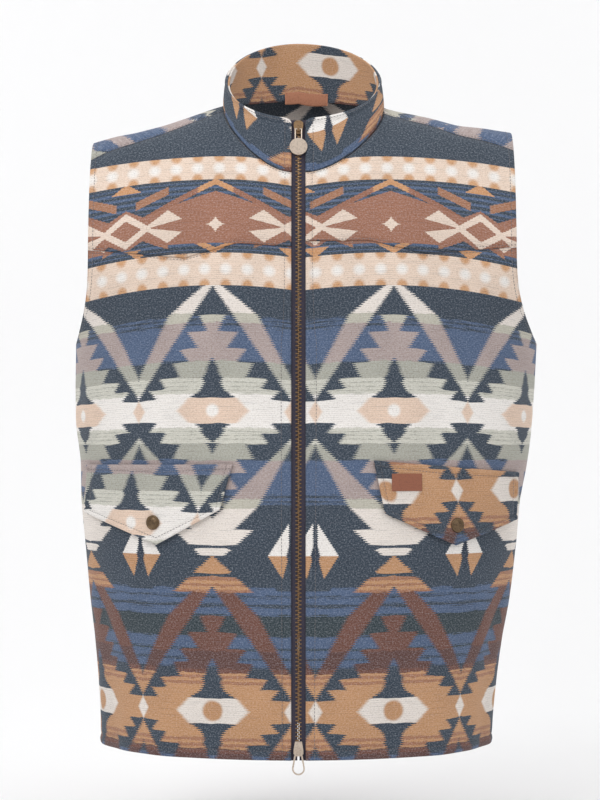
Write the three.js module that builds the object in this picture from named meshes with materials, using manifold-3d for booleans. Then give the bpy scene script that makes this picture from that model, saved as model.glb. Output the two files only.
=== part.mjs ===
import * as THREE from "three";
import { mergeVertices } from "three/addons/utils/BufferGeometryUtils.js";
import Module from "manifold-3d";

// A western vest, filled out as if worn, open at the neck, hem and armholes.
// Millimetres, +Z up, front towards -Y, the wearer's right towards -X.
// The origin lies on the centre line, level with the points where the shoulders meet the neck.

// Cloth, seams and gaps
const CLOTH = 2.4;
const COLLAR_CLOTH = 2.2;
const FLAP_CLOTH = 3;
const TAPE_CLOTH = 0.9;
const SEAM_GAP = 0.3;

// Main heights
const HEM_Z = -681;
const PIT_Z = -253;

// Half width and depth of the body below the armholes, measured from the centre line
const BODY_SECTIONS = [
  { z: -253, right: 240, left: 257, front: 124, back: 120 },
  { z: -335, right: 240, left: 252, front: 126, back: 118 },
  { z: -378, right: 235, left: 247, front: 128, back: 117 },
  { z: -421, right: 234, left: 239, front: 131, back: 117 },
  { z: -464, right: 230, left: 235, front: 134, back: 120 },
  { z: -529, right: 224, left: 227, front: 138, back: 127 },
  { z: -572, right: 219, left: 219, front: 140, back: 132 },
  { z: -637, right: 214, left: 211, front: 143, back: 140 },
  { z: -681, right: 213, left: 208, front: 145, back: 145 },
];

// Shoulder ridge, carried on over the neck opening as the crown that the neckline is cut from
const SHOULDER_RIDGE = [
  { x: 0, right: 24, left: 24 },
  { x: 40, right: 15, left: 16 },
  { x: 80, right: 4, left: 5 },
  { x: 105, right: -4, left: -2 },
  { x: 140, right: -16, left: -9 },
  { x: 170, right: -24, left: -17 },
  { x: 200, right: -30, left: -20.5 },
  { x: 230, right: -39, left: -25 },
];
const BACK_CROWN_RISE = 13;

// Upper body: the profile over the shoulder is a rounded arch, the armhole cuts its sides away
const FRONT_ARCH = 0.909;
const BACK_ARCH = 0.769;
const CHEST_ANGLE = 27.5;
const ARMHOLE_SECTION_ANGLE = 45.4;
const ARMHOLE_SWEEP = 0.58;
const ARMHOLE_HALF_WIDTH = { right: 221, left: 229 };
const ARMHOLE_FLARE = 3.5;

// Neckline in plan: two half ellipses that meet at their widest point
const NECK_CENTRE_Y = -36;
const NECK_FRONT_REACH = 64;
const NECK_BACK_REACH = 92;
const NECK_HALF_WIDTH = { right: 80, left: 91 };
const SHOULDER_SEAM_TIP_Y = -42;

// Stand collar: its upper rim is an ellipse that tips towards the front
const RIM_CENTRE_Y = -12.5;
const RIM_REACH = 72.5;
const RIM_HALF_WIDTH = { right: 78, left: 88 };
const RIM_FRONT_Z = -18;
const RIM_BACK_Z = 80;
const COLLAR_BULGE = 2.5;
const COLLAR_CORNER = 8;
const COLLAR_CORNER_BITE = 0.9;
const COLLAR_TAPE_ROOM = 1.2;
const COLLAR_HEIGHT = 57;
const COLLAR_SEAM_LIFT = SEAM_GAP / COLLAR_HEIGHT;

// Western yoke seam, from the zip to the armhole
const YOKE_SEAM = {
  right: [
    { x: 0, z: -155 },
    { x: 65, z: -151 },
    { x: 119, z: -166 },
    { x: 230, z: -155 },
  ],
  left: [
    { x: 0, z: -149 },
    { x: 74, z: -148 },
    { x: 132, z: -161 },
    { x: 240, z: -152 },
  ],
};

// Half of the yoke seam's gap, as a share of the arch
const YOKE_SEAM_RISE = 0.0006;

// Soft folds of the filled cloth: place round the body, height range, width and how far they stand out
const BODY_FOLDS = [
  { face: -1, side: "right", angle: 66, top: -240, bottom: -375, width: 16, rise: 3.5 },
  { face: -1, side: "left", angle: 64, top: -240, bottom: -372, width: 18, rise: 4 },
  { face: -1, side: "right", angle: 40, top: -500, bottom: -760, width: 24, rise: 3 },
  { face: -1, side: "left", angle: 44, top: -520, bottom: -760, width: 22, rise: 3.5 },
  { face: -1, side: "right", angle: 68, top: -480, bottom: -740, width: 20, rise: -3 },
  { face: -1, side: "left", angle: 70, top: -475, bottom: -740, width: 20, rise: -3 },
  { face: 1, side: "right", angle: 22, top: -330, bottom: -760, width: 28, rise: -5 },
  { face: 1, side: "left", angle: 26, top: -300, bottom: -760, width: 30, rise: -5 },
  { face: 1, side: "right", angle: 58, top: -275, bottom: -560, width: 24, rise: 4 },
  { face: 1, side: "left", angle: 55, top: -275, bottom: -600, width: 24, rise: 4 },
];
const FOLD_FADE = { foot: 70, head: 60 };

// Zip: the visible slot between the fronts, the tapes behind their edges, and the closed chain
const ZIP_EDGE = 7.4;
const TAPE_INNER = 3.6;
const TAPE_OUTER = 16;
const CHAIN_HALF_WIDTH = 3.2;
const CHAIN_THICKNESS = 3;
const CHAIN_DEPTH = CLOTH + SEAM_GAP + TAPE_CLOTH / 2;

// Sliders and pulls, in the slider's own frame: x across, y towards the inside, z up the zip
const SLIDER = {
  halfWidth: 5, halfLength: 7.5, noseHalfWidth: 3.6, plate: 1.4, plateAt: 1.9,
  postHalfWidth: 1.3, postLength: 3.2,
};
const BRIDGE = { halfWidth: 1.2, opening: 3.4, clear: 2.2, thick: 0.9, z: -2.5 };
const PULL_BAR_RADIUS = 0.7;
const PULL_AXIS_Y = -(SLIDER.plateAt + SLIDER.plate + BRIDGE.clear / 2);
const TOP_SLIDER_RISE = 0.82;
const TOP_PULL = { armX: 3.3, discRadius: 9.3, discThick: 1.7, discDrop: 19.5 };
const BOTTOM_SLIDER_Z = -669;
const BOTTOM_PULL = { topHalfWidth: 3.6, ringHalfWidth: 6.5, length: 24, thick: 1.4, rail: 1.5 };

// Pocket flaps: corners as distance from the centre line and height
const FLAPS = {
  right: {
    topInner: { x: 67, z: -379 }, topOuter: { x: 222, z: -381 }, cornerInner: { x: 80, z: -426 },
    tip: { x: 145, z: -463 }, cornerOuter: { x: 223, z: -432 }, snap: { x: 148, z: -440 },
  },
  left: {
    topInner: { x: 77, z: -375 }, topOuter: { x: 231, z: -389 }, cornerInner: { x: 88, z: -430 },
    tip: { x: 161, z: -464 }, cornerOuter: { x: 228, z: -440 }, snap: { x: 162, z: -443 },
  },
};
const FLAP_GAP = 0.95;
const FLAP_LIFT = 3;
const FLAP_LIFT_DROP = 85;
const FLAP_INNER_LIFT = 1.5;
const FLAP_INNER_WIDTH = 40;
const SNAP = { radius: 7.6, height: 3 };
const PATCH = { x0: 95, x1: 126, z0: -407, z1: -389, thick: 1.1 };

// Hanger loop inside the back of the neck
const LOOP = { x0: -16, x1: 34, halfHeight: 6, thick: 1.6, bow: 2.5 };

// How finely the walls are divided
const NECK_COLUMNS = 8;
const SHOULDER_COLUMNS = 9;
const BODY_ROWS = 12;
const CHEST_ROWS = 6;
const YOKE_ROWS = 6;
const BACK_UPPER_ROWS = 13;
const COLLAR_ROWS = 4;

const SIGN = { right: -1, left: 1 };
const FRONT = -1;
const BACK = 1;
const RIGHT_ANGLE = Math.PI / 2;
const { degToRad, clamp, lerp, smoothstep } = THREE.MathUtils;

// Any share of the arch above the chest: the columns run straight from there to the ridge
const ABOVE_CHEST = 0.6;

// A smooth value between the rows of a table, held at its ends
function along(rows, key, column, at) {
  const rising = rows[0][key] < rows[rows.length - 1][key] ? 1 : -1;
  let i = 0;
  while (i < rows.length - 2 && rising * at > rising * rows[i + 1][key]) i += 1;
  const slope = (k) => {
    const a = rows[Math.max(k - 1, 0)];
    const b = rows[Math.min(k + 1, rows.length - 1)];
    return (b[column] - a[column]) / (b[key] - a[key]);
  };
  const span = rows[i + 1][key] - rows[i][key];
  const t = clamp((at - rows[i][key]) / span, 0, 1);
  const start = rows[i][column];
  const end = rows[i + 1][column];
  const bend = (1 - t) * slope(i) * span * t * (1 - t) - t * slope(i + 1) * span * t * (1 - t);
  return start + (end - start) * (t * t * (3 - 2 * t)) + bend;
}

// Push of the soft folds at one place on the body below the armholes
function foldPush(side, face, angle, z, arcScale) {
  let push = 0;
  for (const fold of BODY_FOLDS) {
    if (fold.side !== side || fold.face !== face) continue;
    const off = ((angle - degToRad(fold.angle)) * arcScale) / fold.width;
    const aboveFoot = smoothstep(z, fold.bottom, fold.bottom + FOLD_FADE.foot);
    const belowHead = 1 - smoothstep(z, fold.top - FOLD_FADE.head, fold.top);
    push += fold.rise * Math.exp(-off * off) * aboveFoot * belowHead;
  }
  return push;
}

// Angle at which the armhole cuts the upper body: 90 degrees at its foot, less up the chest
function armholeAngle(rise) {
  const u = clamp((rise * 90) / CHEST_ANGLE, 0, 1);
  const cut = Math.pow(1 - (1 - u) * (1 - u), ARMHOLE_SWEEP);
  return degToRad(90 - (90 - ARMHOLE_SECTION_ANGLE) * cut);
}

function sectionHalfWidth(side, rise) {
  if (rise <= 0) return along(BODY_SECTIONS, "z", side, PIT_Z + rise * (PIT_Z - HEM_Z));
  const u = clamp((rise * 90) / CHEST_ANGLE, 0, 1);
  const armhole = ARMHOLE_HALF_WIDTH[side];
  const pit = BODY_SECTIONS[0][side];
  const edge = armhole + (pit - armhole) * Math.pow(1 - u, ARMHOLE_FLARE);
  return edge / Math.sin(armholeAngle(rise));
}

function ridgeHeight(side, x, face) {
  const ridge = along(SHOULDER_RIDGE, "x", side, Math.min(x, 230));
  const inNeck = clamp(1 - (x / NECK_HALF_WIDTH[side]) ** 2, 0, 1);
  return ridge + (face === BACK ? BACK_CROWN_RISE * inNeck * inNeck : 0);
}

// A point of the outer cloth. rise runs from -1 at the hem over 0 at the armhole's foot to 1 at the
// shoulder ridge, and past it down the front; angle runs from 0 at the centre to 90 degrees at the side.
function bodyPoint(side, face, angle, rise) {
  if (rise > 1) return bodyPoint(side, FRONT, angle, 2 - rise);
  const halfWidth = sectionHalfWidth(side, rise);
  const x = halfWidth * Math.sin(angle);
  const turn = Math.max(rise, 0) * RIGHT_ANGLE;
  const arch = face === FRONT ? FRONT_ARCH : BACK_ARCH;
  const lowZ = PIT_Z + Math.min(rise, 0) * (PIT_Z - HEM_Z);
  const depth = along(BODY_SECTIONS, "z", face === FRONT ? "front" : "back", lowZ);
  const y = depth * Math.cos(angle) * Math.pow(Math.max(Math.cos(turn), 0), arch);
  const z = lowZ + (ridgeHeight(side, x, face) - PIT_Z) * Math.pow(Math.sin(turn), arch);
  const push = rise < 0 ? foldPush(side, face, angle, z, (halfWidth + depth) / 2) : 0;
  return new THREE.Vector3(
    SIGN[side] * (x + push * Math.sin(angle)),
    face * (y + push * Math.cos(angle)),
    z,
  );
}

const STEP = 0.002;

function bodyFrame(side, face, angle, rise) {
  const across = bodyPoint(side, face, angle + STEP, rise).sub(bodyPoint(side, face, angle - STEP, rise));
  const up = bodyPoint(side, face, angle, rise + STEP).sub(bodyPoint(side, face, angle, rise - STEP));
  const normal = across.cross(up).multiplyScalar(-face * SIGN[side]).normalize();
  return { point: bodyPoint(side, face, angle, rise), normal };
}

// Angle at a distance x from the centre line
function angleAtX(side, x, rise) {
  return Math.asin(clamp(x / sectionHalfWidth(side, rise), -1, 1));
}

// How far up the arch reaches a given depth y, above the chest
function riseAtDepth(side, face, x, y) {
  const angle = angleAtX(side, x, ABOVE_CHEST);
  const depth = BODY_SECTIONS[0][face === FRONT ? "front" : "back"] * Math.cos(angle);
  const arch = face === FRONT ? FRONT_ARCH : BACK_ARCH;
  return Math.acos(clamp(Math.abs(y) / depth, 0, 1) ** (1 / arch)) / RIGHT_ANGLE;
}

function neckDepth(side, x, face) {
  const cos = Math.sqrt(Math.max(0, 1 - (x / NECK_HALF_WIDTH[side]) ** 2));
  return NECK_CENTRE_Y + face * (face === FRONT ? NECK_FRONT_REACH : NECK_BACK_REACH) * cos;
}

// Depth of the forward shoulder seam, from the neckline to the shoulder tip
function shoulderSeamDepth(side, x) {
  const share = (x - NECK_HALF_WIDTH[side]) / (ARMHOLE_HALF_WIDTH[side] - NECK_HALF_WIDTH[side]);
  return lerp(NECK_CENTRE_Y, SHOULDER_SEAM_TIP_Y, clamp(share, 0, 1));
}

// Columns are spread evenly along the neckline, then along the shoulder
function topColumns(side, start) {
  const neck = NECK_HALF_WIDTH[side];
  const first = Math.asin(start / neck);
  const columns = [];
  for (let i = 0; i < NECK_COLUMNS; i++) {
    columns.push(neck * Math.sin(lerp(first, RIGHT_ANGLE, i / NECK_COLUMNS)));
  }
  for (let i = 0; i <= SHOULDER_COLUMNS; i++) {
    columns.push(lerp(neck, ARMHOLE_HALF_WIDTH[side] - 0.01, i / SHOULDER_COLUMNS));
  }
  return columns;
}

// A column keeps its share of the way from the start line to the side or armhole edge
function columnShare(side, topX, start) {
  const first = angleAtX(side, start, ABOVE_CHEST);
  return (angleAtX(side, topX, ABOVE_CHEST) - first) / (armholeAngle(ABOVE_CHEST) - first);
}

function columnAngle(side, share, rise, start) {
  const first = angleAtX(side, start, rise);
  const last = rise > 0 ? armholeAngle(rise) : RIGHT_ANGLE;
  const seam = rise > 0 ? 0 : SEAM_GAP / 2 / BODY_SECTIONS[0].front;
  return lerp(first, last - seam, share);
}

function yokeSeamHeight(side, x) {
  const rows = YOKE_SEAM[side];
  let i = 0;
  while (i < rows.length - 2 && x > rows[i + 1].x) i += 1;
  return lerp(rows[i].z, rows[i + 1].z, (x - rows[i].x) / (rows[i + 1].x - rows[i].x));
}

// Where a front column crosses the yoke seam, by halving
function yokeRise(side, share) {
  let low = 0.02;
  let high = 0.42;
  for (let k = 0; k < 40; k++) {
    const middle = (low + high) / 2;
    const p = bodyPoint(side, FRONT, columnAngle(side, share, middle, ZIP_EDGE), middle);
    if (p.z < yokeSeamHeight(side, Math.abs(p.x))) low = middle;
    else high = middle;
  }
  return low;
}

// A closed wall from a grid of frames, between two distances along the normal
function wallGeometry(columns, rows, frameAt, near, far) {
  const positions = [];
  for (const distance of [near, far]) {
    for (let i = 0; i <= columns; i++) {
      for (let j = 0; j <= rows; j++) {
        const { point, normal } = frameAt(i, j);
        const p = point.clone().addScaledVector(normal, distance);
        positions.push(p.x, p.y, p.z);
      }
    }
  }
  const layer = (columns + 1) * (rows + 1);
  const at = (side, i, j) => side * layer + i * (rows + 1) + j;
  const faces = [];
  const quad = (a, b, c, d) => faces.push(a, b, c, a, c, d);
  for (let i = 0; i < columns; i++) {
    for (let j = 0; j < rows; j++) {
      quad(at(0, i, j), at(0, i + 1, j), at(0, i + 1, j + 1), at(0, i, j + 1));
      quad(at(1, i, j), at(1, i, j + 1), at(1, i + 1, j + 1), at(1, i + 1, j));
    }
  }
  for (let i = 0; i < columns; i++) {
    quad(at(0, i, 0), at(1, i, 0), at(1, i + 1, 0), at(0, i + 1, 0));
    quad(at(0, i + 1, rows), at(1, i + 1, rows), at(1, i, rows), at(0, i, rows));
  }
  for (let j = 0; j < rows; j++) {
    quad(at(0, 0, j + 1), at(1, 0, j + 1), at(1, 0, j), at(0, 0, j));
    quad(at(0, columns, j), at(1, columns, j), at(1, columns, j + 1), at(0, columns, j + 1));
  }
  return facingOut(positions, faces);
}

// Six times the enclosed volume is the sum of the triangles' triple products
function facingOut(positions, faces) {
  const corner = (k) => new THREE.Vector3().fromArray(positions, 3 * k);
  let volume = 0;
  for (let k = 0; k < faces.length; k += 3) {
    volume += corner(faces[k]).dot(corner(faces[k + 1]).cross(corner(faces[k + 2])));
  }
  if (volume < 0) {
    for (let k = 0; k < faces.length; k += 3) [faces[k + 1], faces[k + 2]] = [faces[k + 2], faces[k + 1]];
  }
  const geometry = new THREE.BufferGeometry();
  geometry.setAttribute("position", new THREE.Float32BufferAttribute(positions, 3));
  geometry.setIndex(faces);
  geometry.computeVertexNormals();
  return geometry;
}

const COLOURS = {
  fleece: { color: 0x46597c, roughness: 0.95, metalness: 0 },
  fleeceLight: { color: 0xcbb28e, roughness: 0.95, metalness: 0 },
  tape: { color: 0x2b2a3a, roughness: 0.9, metalness: 0 },
  brass: { color: 0x6d5a41, roughness: 0.4, metalness: 0.9 },
  nickel: { color: 0x9b958a, roughness: 0.35, metalness: 0.9 },
  leather: { color: 0x7c5340, roughness: 0.8, metalness: 0 },
};

const vest = new THREE.Group();

function add(name, geometry, finish, parent = vest) {
  const mesh = new THREE.Mesh(geometry, new THREE.MeshStandardMaterial(COLOURS[finish]));
  mesh.name = name;
  parent.add(mesh);
  return mesh;
}

// Lower front: from the hem to the yoke seam
function lowerFront(side) {
  const shares = topColumns(side, ZIP_EDGE).map((x) => columnShare(side, x, ZIP_EDGE));
  const tops = shares.map((share) => yokeRise(side, share));
  const frameAt = (i, j) => {
    const share = shares[i];
    const up = (j - BODY_ROWS) / CHEST_ROWS;
    const bend = 1 + 0.6 * share * share;
    const rise = j <= BODY_ROWS ? j / BODY_ROWS - 1 : (tops[i] - YOKE_SEAM_RISE) * up ** bend;
    return bodyFrame(side, FRONT, columnAngle(side, share, rise, ZIP_EDGE), rise);
  };
  return wallGeometry(shares.length - 1, BODY_ROWS + CHEST_ROWS, frameAt, 0, -CLOTH);
}

// Yoke: from the yoke seam to the neckline and the forward shoulder seam
function yoke(side) {
  const tops = topColumns(side, ZIP_EDGE);
  const shares = tops.map((x) => columnShare(side, x, ZIP_EDGE));
  const frameAt = (i, j) => {
    const inNeck = i <= NECK_COLUMNS;
    const depth = inNeck ? neckDepth(side, tops[i], FRONT) : shoulderSeamDepth(side, tops[i]);
    const last = riseAtDepth(side, FRONT, tops[i], depth - SEAM_GAP / 2);
    const rise = lerp(yokeRise(side, shares[i]) + YOKE_SEAM_RISE, last, j / YOKE_ROWS);
    return bodyFrame(side, FRONT, columnAngle(side, shares[i], rise, ZIP_EDGE), rise);
  };
  return wallGeometry(shares.length - 1, YOKE_ROWS, frameAt, 0, -CLOTH);
}

// The back is one panel that goes over the shoulder ridge to the forward seam
function backTop(side, x) {
  const inNeck = x <= NECK_HALF_WIDTH[side];
  const depth = (inNeck ? neckDepth(side, x, BACK) : shoulderSeamDepth(side, x)) + SEAM_GAP / 2;
  if (depth >= 0) return riseAtDepth(side, BACK, x, depth);
  return 2 - riseAtDepth(side, FRONT, x, depth);
}

function backPanel() {
  const half = { right: topColumns("right", 0), left: topColumns("left", 0) };
  const last = half.left.length - 1;
  const rows = BODY_ROWS + BACK_UPPER_ROWS;
  const frameAt = (i, j) => {
    const side = i < last ? "right" : "left";
    const x = half[side][Math.abs(i - last)];
    const share = columnShare(side, x, 0);
    const up = (j - BODY_ROWS) / BACK_UPPER_ROWS;
    const bend = 1 + 0.5 * share * share;
    const rise = j <= BODY_ROWS ? j / BODY_ROWS - 1 : backTop(side, x) * up ** bend;
    const angleRise = rise > 1 ? 2 - rise : rise;
    return bodyFrame(side, BACK, columnAngle(side, share, angleRise, 0), rise);
  };
  return wallGeometry(2 * last, rows, frameAt, 0, -CLOTH);
}

// Neckline point, on the body's outer surface
function neckPoint(side, turn) {
  const x = NECK_HALF_WIDTH[side] * Math.sin(turn);
  const cos = Math.cos(turn);
  const y = NECK_CENTRE_Y - cos * (cos > 0 ? NECK_FRONT_REACH : NECK_BACK_REACH);
  const face = y < 0 ? FRONT : BACK;
  const rise = riseAtDepth(side, face, x, y);
  const p = bodyPoint(side, face, angleAtX(side, x, rise), rise);
  return new THREE.Vector3(SIGN[side] * x, y, p.z);
}

// Collar surface: turn runs from 0 at the front centre to 180 degrees at the back, up from 0 to 1
function collarPoint(side, turn, up) {
  const foot = neckPoint(side, turn);
  const rim = new THREE.Vector3(
    SIGN[side] * RIM_HALF_WIDTH[side] * Math.sin(turn),
    RIM_CENTRE_Y - RIM_REACH * Math.cos(turn),
    lerp(RIM_FRONT_Z, RIM_BACK_Z, (1 - Math.cos(turn)) / 2),
  );
  const bulge = COLLAR_BULGE * Math.sin(Math.PI * clamp(up, 0, 1)) * Math.sin(turn / 2) ** 2;
  const out = new THREE.Vector3(SIGN[side] * Math.sin(turn), -Math.cos(turn), 0);
  return foot.lerp(rim, up).addScaledVector(out, bulge);
}

function collarFrame(side, turn, up) {
  const t = clamp(turn, 2 * STEP, Math.PI - 2 * STEP);
  const across = collarPoint(side, t + STEP, up).sub(collarPoint(side, t - STEP, up));
  const rise = collarPoint(side, t, up + 0.02).sub(collarPoint(side, t, up - 0.02));
  const normal = across.cross(rise).multiplyScalar(SIGN[side]).normalize();
  if (turn > Math.PI - 2 * STEP) normal.setX(0).normalize();
  return { point: collarPoint(side, turn, up), normal };
}

// Rounded front corners of the collar: how much of its height is left near the zip edge
function collarTop(side, turn) {
  const inFromEdge = NECK_HALF_WIDTH[side] * Math.sin(Math.min(turn, RIGHT_ANGLE)) - ZIP_EDGE;
  const missing = clamp(1 - inFromEdge / COLLAR_CORNER, 0, 1);
  const drop = COLLAR_CORNER * (1 - Math.sqrt(1 - COLLAR_CORNER_BITE * missing * missing));
  return 1 - drop / COLLAR_HEIGHT;
}

// The collar's columns meet those of the yokes and the back at the neck seam
function collarTurn(side, column) {
  if (column <= NECK_COLUMNS) return lerp(Math.PI, RIGHT_ANGLE, column / NECK_COLUMNS);
  const first = Math.asin(ZIP_EDGE / NECK_HALF_WIDTH[side]);
  return lerp(RIGHT_ANGLE, first, column / NECK_COLUMNS - 1);
}

function collarLayer(near, far) {
  const half = 2 * NECK_COLUMNS;
  const frameAt = (i, j) => {
    const side = i < half ? "right" : "left";
    const turn = collarTurn(side, Math.abs(i - half));
    const up = lerp(COLLAR_SEAM_LIFT, collarTop(side, turn), j / COLLAR_ROWS);
    const frame = collarFrame(side, turn, up);
    const tapeRoom = near < 0 ? COLLAR_TAPE_ROOM * (1 - smoothstep(Math.abs(frame.point.x), 17, 34)) : 0;
    if (frame.point.y < 0) frame.point.addScaledVector(frame.normal, -tapeRoom);
    return frame;
  };
  return wallGeometry(2 * half, COLLAR_ROWS, frameAt, near, far);
}

// The zip's line runs up the centre front and on up the collar. Its rows are even along each stretch.
const ZIP_BODY_ROWS = 20;
const ZIP_COLLAR_ROWS = 4;
const ZIP_TOP_SHARE = 0.97;
function zipNeckRise(side) {
  return riseAtDepth(side, FRONT, ZIP_EDGE, neckDepth(side, ZIP_EDGE, FRONT));
}

function zipRowAt(z) {
  const rise = (z - PIT_Z) / (PIT_Z - HEM_Z);
  return ((rise + 1) / (zipNeckRise("right") + 1)) * ZIP_BODY_ROWS;
}

function zipFrame(side, x, row) {
  if (row <= ZIP_BODY_ROWS) {
    const rise = lerp(-1, zipNeckRise(side), row / ZIP_BODY_ROWS);
    return bodyFrame(side, FRONT, angleAtX(side, x, rise), rise);
  }
  const up = ((row - ZIP_BODY_ROWS) / ZIP_COLLAR_ROWS) * ZIP_TOP_SHARE;
  const halfWidth = lerp(NECK_HALF_WIDTH[side], RIM_HALF_WIDTH[side], up);
  return collarFrame(side, Math.asin(x / halfWidth), up);
}

function zipTape(side) {
  const rows = ZIP_BODY_ROWS + ZIP_COLLAR_ROWS;
  const frameAt = (i, j) => zipFrame(side, lerp(TAPE_INNER, TAPE_OUTER, i / 2), j);
  const near = -(CLOTH + SEAM_GAP);
  return wallGeometry(2, rows, frameAt, near, near - TAPE_CLOTH);
}

// A frame on the centre line at a height given as a share of the zip's rows
function zipCentre(row) {
  const right = zipFrame("right", 0.5, row);
  const left = zipFrame("left", 0.5, row);
  const point = right.point.clone().add(left.point).multiplyScalar(0.5).setX(0);
  const normal = right.normal.clone().add(left.normal).setX(0).normalize();
  return { point, normal };
}

function zipChain(firstRow, lastRow) {
  const rows = ZIP_BODY_ROWS + ZIP_COLLAR_ROWS;
  const frameAt = (i, j) => {
    const frame = zipCentre(lerp(firstRow, lastRow, j / rows));
    frame.point.x = lerp(-CHAIN_HALF_WIDTH, CHAIN_HALF_WIDTH, i);
    return frame;
  };
  const middle = -CHAIN_DEPTH;
  return wallGeometry(1, rows, frameAt, middle + CHAIN_THICKNESS / 2, middle - CHAIN_THICKNESS / 2);
}

// Solids for cutting and joining
const wasm = await Module();
wasm.setup();

function solid(geometry) {
  const bare = geometry.clone();
  bare.deleteAttribute("normal");
  bare.deleteAttribute("uv");
  const merged = mergeVertices(bare, 1e-4);
  const vertProperties = new Float32Array(merged.getAttribute("position").array);
  const triVerts = new Uint32Array(merged.index.array);
  return new wasm.Manifold(new wasm.Mesh({ numProp: 3, vertProperties, triVerts }));
}

function geometryOf(joined) {
  const mesh = joined.getMesh();
  const geometry = new THREE.BufferGeometry();
  geometry.setAttribute("position", new THREE.Float32BufferAttribute(mesh.vertProperties, 3));
  geometry.setIndex(Array.from(mesh.triVerts));
  return geometry;
}

function block(x0, x1, y0, y1, z0, z1) {
  const box = new THREE.BoxGeometry(x1 - x0, y1 - y0, z1 - z0);
  return solid(box.translate((x0 + x1) / 2, (y0 + y1) / 2, (z0 + z1) / 2));
}

// A flat plate in the slider's frame: its outline in x and z, its thickness in y
function plate(outline, y0, y1) {
  const options = { depth: y1 - y0, bevelEnabled: false, curveSegments: 6 };
  const extruded = new THREE.ExtrudeGeometry(outline, options);
  return solid(extruded.rotateX(RIGHT_ANGLE).translate(0, y1, 0));
}

function bar(x0, x1, radius) {
  const cylinder = new THREE.CylinderGeometry(radius, radius, x1 - x0, 10);
  return solid(cylinder.rotateZ(RIGHT_ANGLE).translate((x0 + x1) / 2, 0, 0));
}

// Slider: front and back plates joined by a post, with a bridge for the pull. flip -1 turns the post down.
function sliderGeometry(flip) {
  const outline = new THREE.Shape();
  outline.moveTo(-SLIDER.noseHalfWidth, -flip * SLIDER.halfLength);
  outline.lineTo(SLIDER.noseHalfWidth, -flip * SLIDER.halfLength);
  outline.lineTo(SLIDER.halfWidth, flip * 1.5);
  outline.lineTo(SLIDER.halfWidth, flip * 5);
  outline.lineTo(SLIDER.noseHalfWidth - 1, flip * SLIDER.halfLength);
  outline.lineTo(1 - SLIDER.noseHalfWidth, flip * SLIDER.halfLength);
  outline.lineTo(-SLIDER.halfWidth, flip * 5);
  outline.lineTo(-SLIDER.halfWidth, flip * 1.5);
  const face = SLIDER.plateAt + SLIDER.plate;
  const postMiddle = flip * (SLIDER.halfLength - SLIDER.postLength / 2);
  const postEnds = [postMiddle - SLIDER.postLength / 2, postMiddle + SLIDER.postLength / 2];
  const low = BRIDGE.z - BRIDGE.opening / 2;
  const high = BRIDGE.z + BRIDGE.opening / 2;
  const roof = face + BRIDGE.clear;
  const w = BRIDGE.halfWidth;
  const post = SLIDER.postHalfWidth;
  const body = plate(outline, -face, -SLIDER.plateAt)
    .add(plate(outline, SLIDER.plateAt, face - 0.3))
    .add(block(-post, post, -SLIDER.plateAt - 0.2, SLIDER.plateAt + 0.2, ...postEnds))
    .add(block(-w, w, -roof - BRIDGE.thick, -face + 0.2, low - BRIDGE.thick, low))
    .add(block(-w, w, -roof - BRIDGE.thick, -face + 0.2, high, high + BRIDGE.thick))
    .add(block(-w, w, -roof - BRIDGE.thick, -roof, low - 0.1, high + 0.1));
  return geometryOf(body);
}

// Top pull: a wire loop through the bridge that carries a plain disc. Its origin is the hinge line.
function topPullGeometry() {
  const { armX, discRadius, discThick, discDrop } = TOP_PULL;
  const disc = new THREE.CylinderGeometry(discRadius, discRadius, discThick, 28).translate(0, 0, discDrop);
  let pull = solid(disc).add(bar(-armX - 0.6, armX + 0.6, PULL_BAR_RADIUS));
  for (const x of [-armX, armX]) {
    const length = discDrop - discRadius + 2;
    const arm = new THREE.CylinderGeometry(PULL_BAR_RADIUS, PULL_BAR_RADIUS, length, 8).rotateX(RIGHT_ANGLE);
    pull = pull.add(solid(arm.translate(x, 0, length / 2)));
  }
  return geometryOf(pull).rotateX(Math.PI);
}

// Bottom pull: a tapered frame that widens to an oval ring
function bottomPullGeometry() {
  const { topHalfWidth, ringHalfWidth, length, thick, rail } = BOTTOM_PULL;
  const ringZ = -length + ringHalfWidth;
  const outline = new THREE.Shape();
  outline.moveTo(topHalfWidth, 0);
  outline.lineTo(-topHalfWidth, 0);
  outline.lineTo(-ringHalfWidth, ringZ + 1);
  outline.absarc(0, ringZ, ringHalfWidth, -Math.PI, 0, false);
  outline.lineTo(ringHalfWidth, ringZ + 1);
  const window = new THREE.Path();
  window.moveTo(-topHalfWidth + rail, 0.1 - rail);
  window.lineTo(topHalfWidth - rail, 0.1 - rail);
  window.lineTo(ringHalfWidth - rail, ringZ + 1);
  window.absarc(0, ringZ, ringHalfWidth - rail, 0, -Math.PI, true);
  outline.holes.push(window);
  const slot = block(rail - topHalfWidth, topHalfWidth - rail, -thick, thick, -2, 1);
  const frame = plate(outline, -thick / 2, thick / 2).subtract(slot);
  return geometryOf(frame.add(bar(-topHalfWidth, topHalfWidth, PULL_BAR_RADIUS)));
}

// A slider group sits on the zip's line with its y axis pointing into the body
function sliderGroup(row) {
  const { point, normal } = zipCentre(row);
  const group = new THREE.Group();
  group.position.copy(point).addScaledVector(normal, -CHAIN_DEPTH);
  group.rotation.x = Math.atan2(-normal.z, -normal.y);
  vest.add(group);
  return group;
}

function addSlider(end, row, flip, pullGeometry, finish) {
  const group = sliderGroup(row);
  add(`slider_${end}`, sliderGeometry(flip), finish, group);
  const hinge = new THREE.Group();
  hinge.position.set(0, PULL_AXIS_Y, BRIDGE.z);
  group.add(hinge);
  add(`pull_${end}`, pullGeometry, finish, hinge);
}

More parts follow.
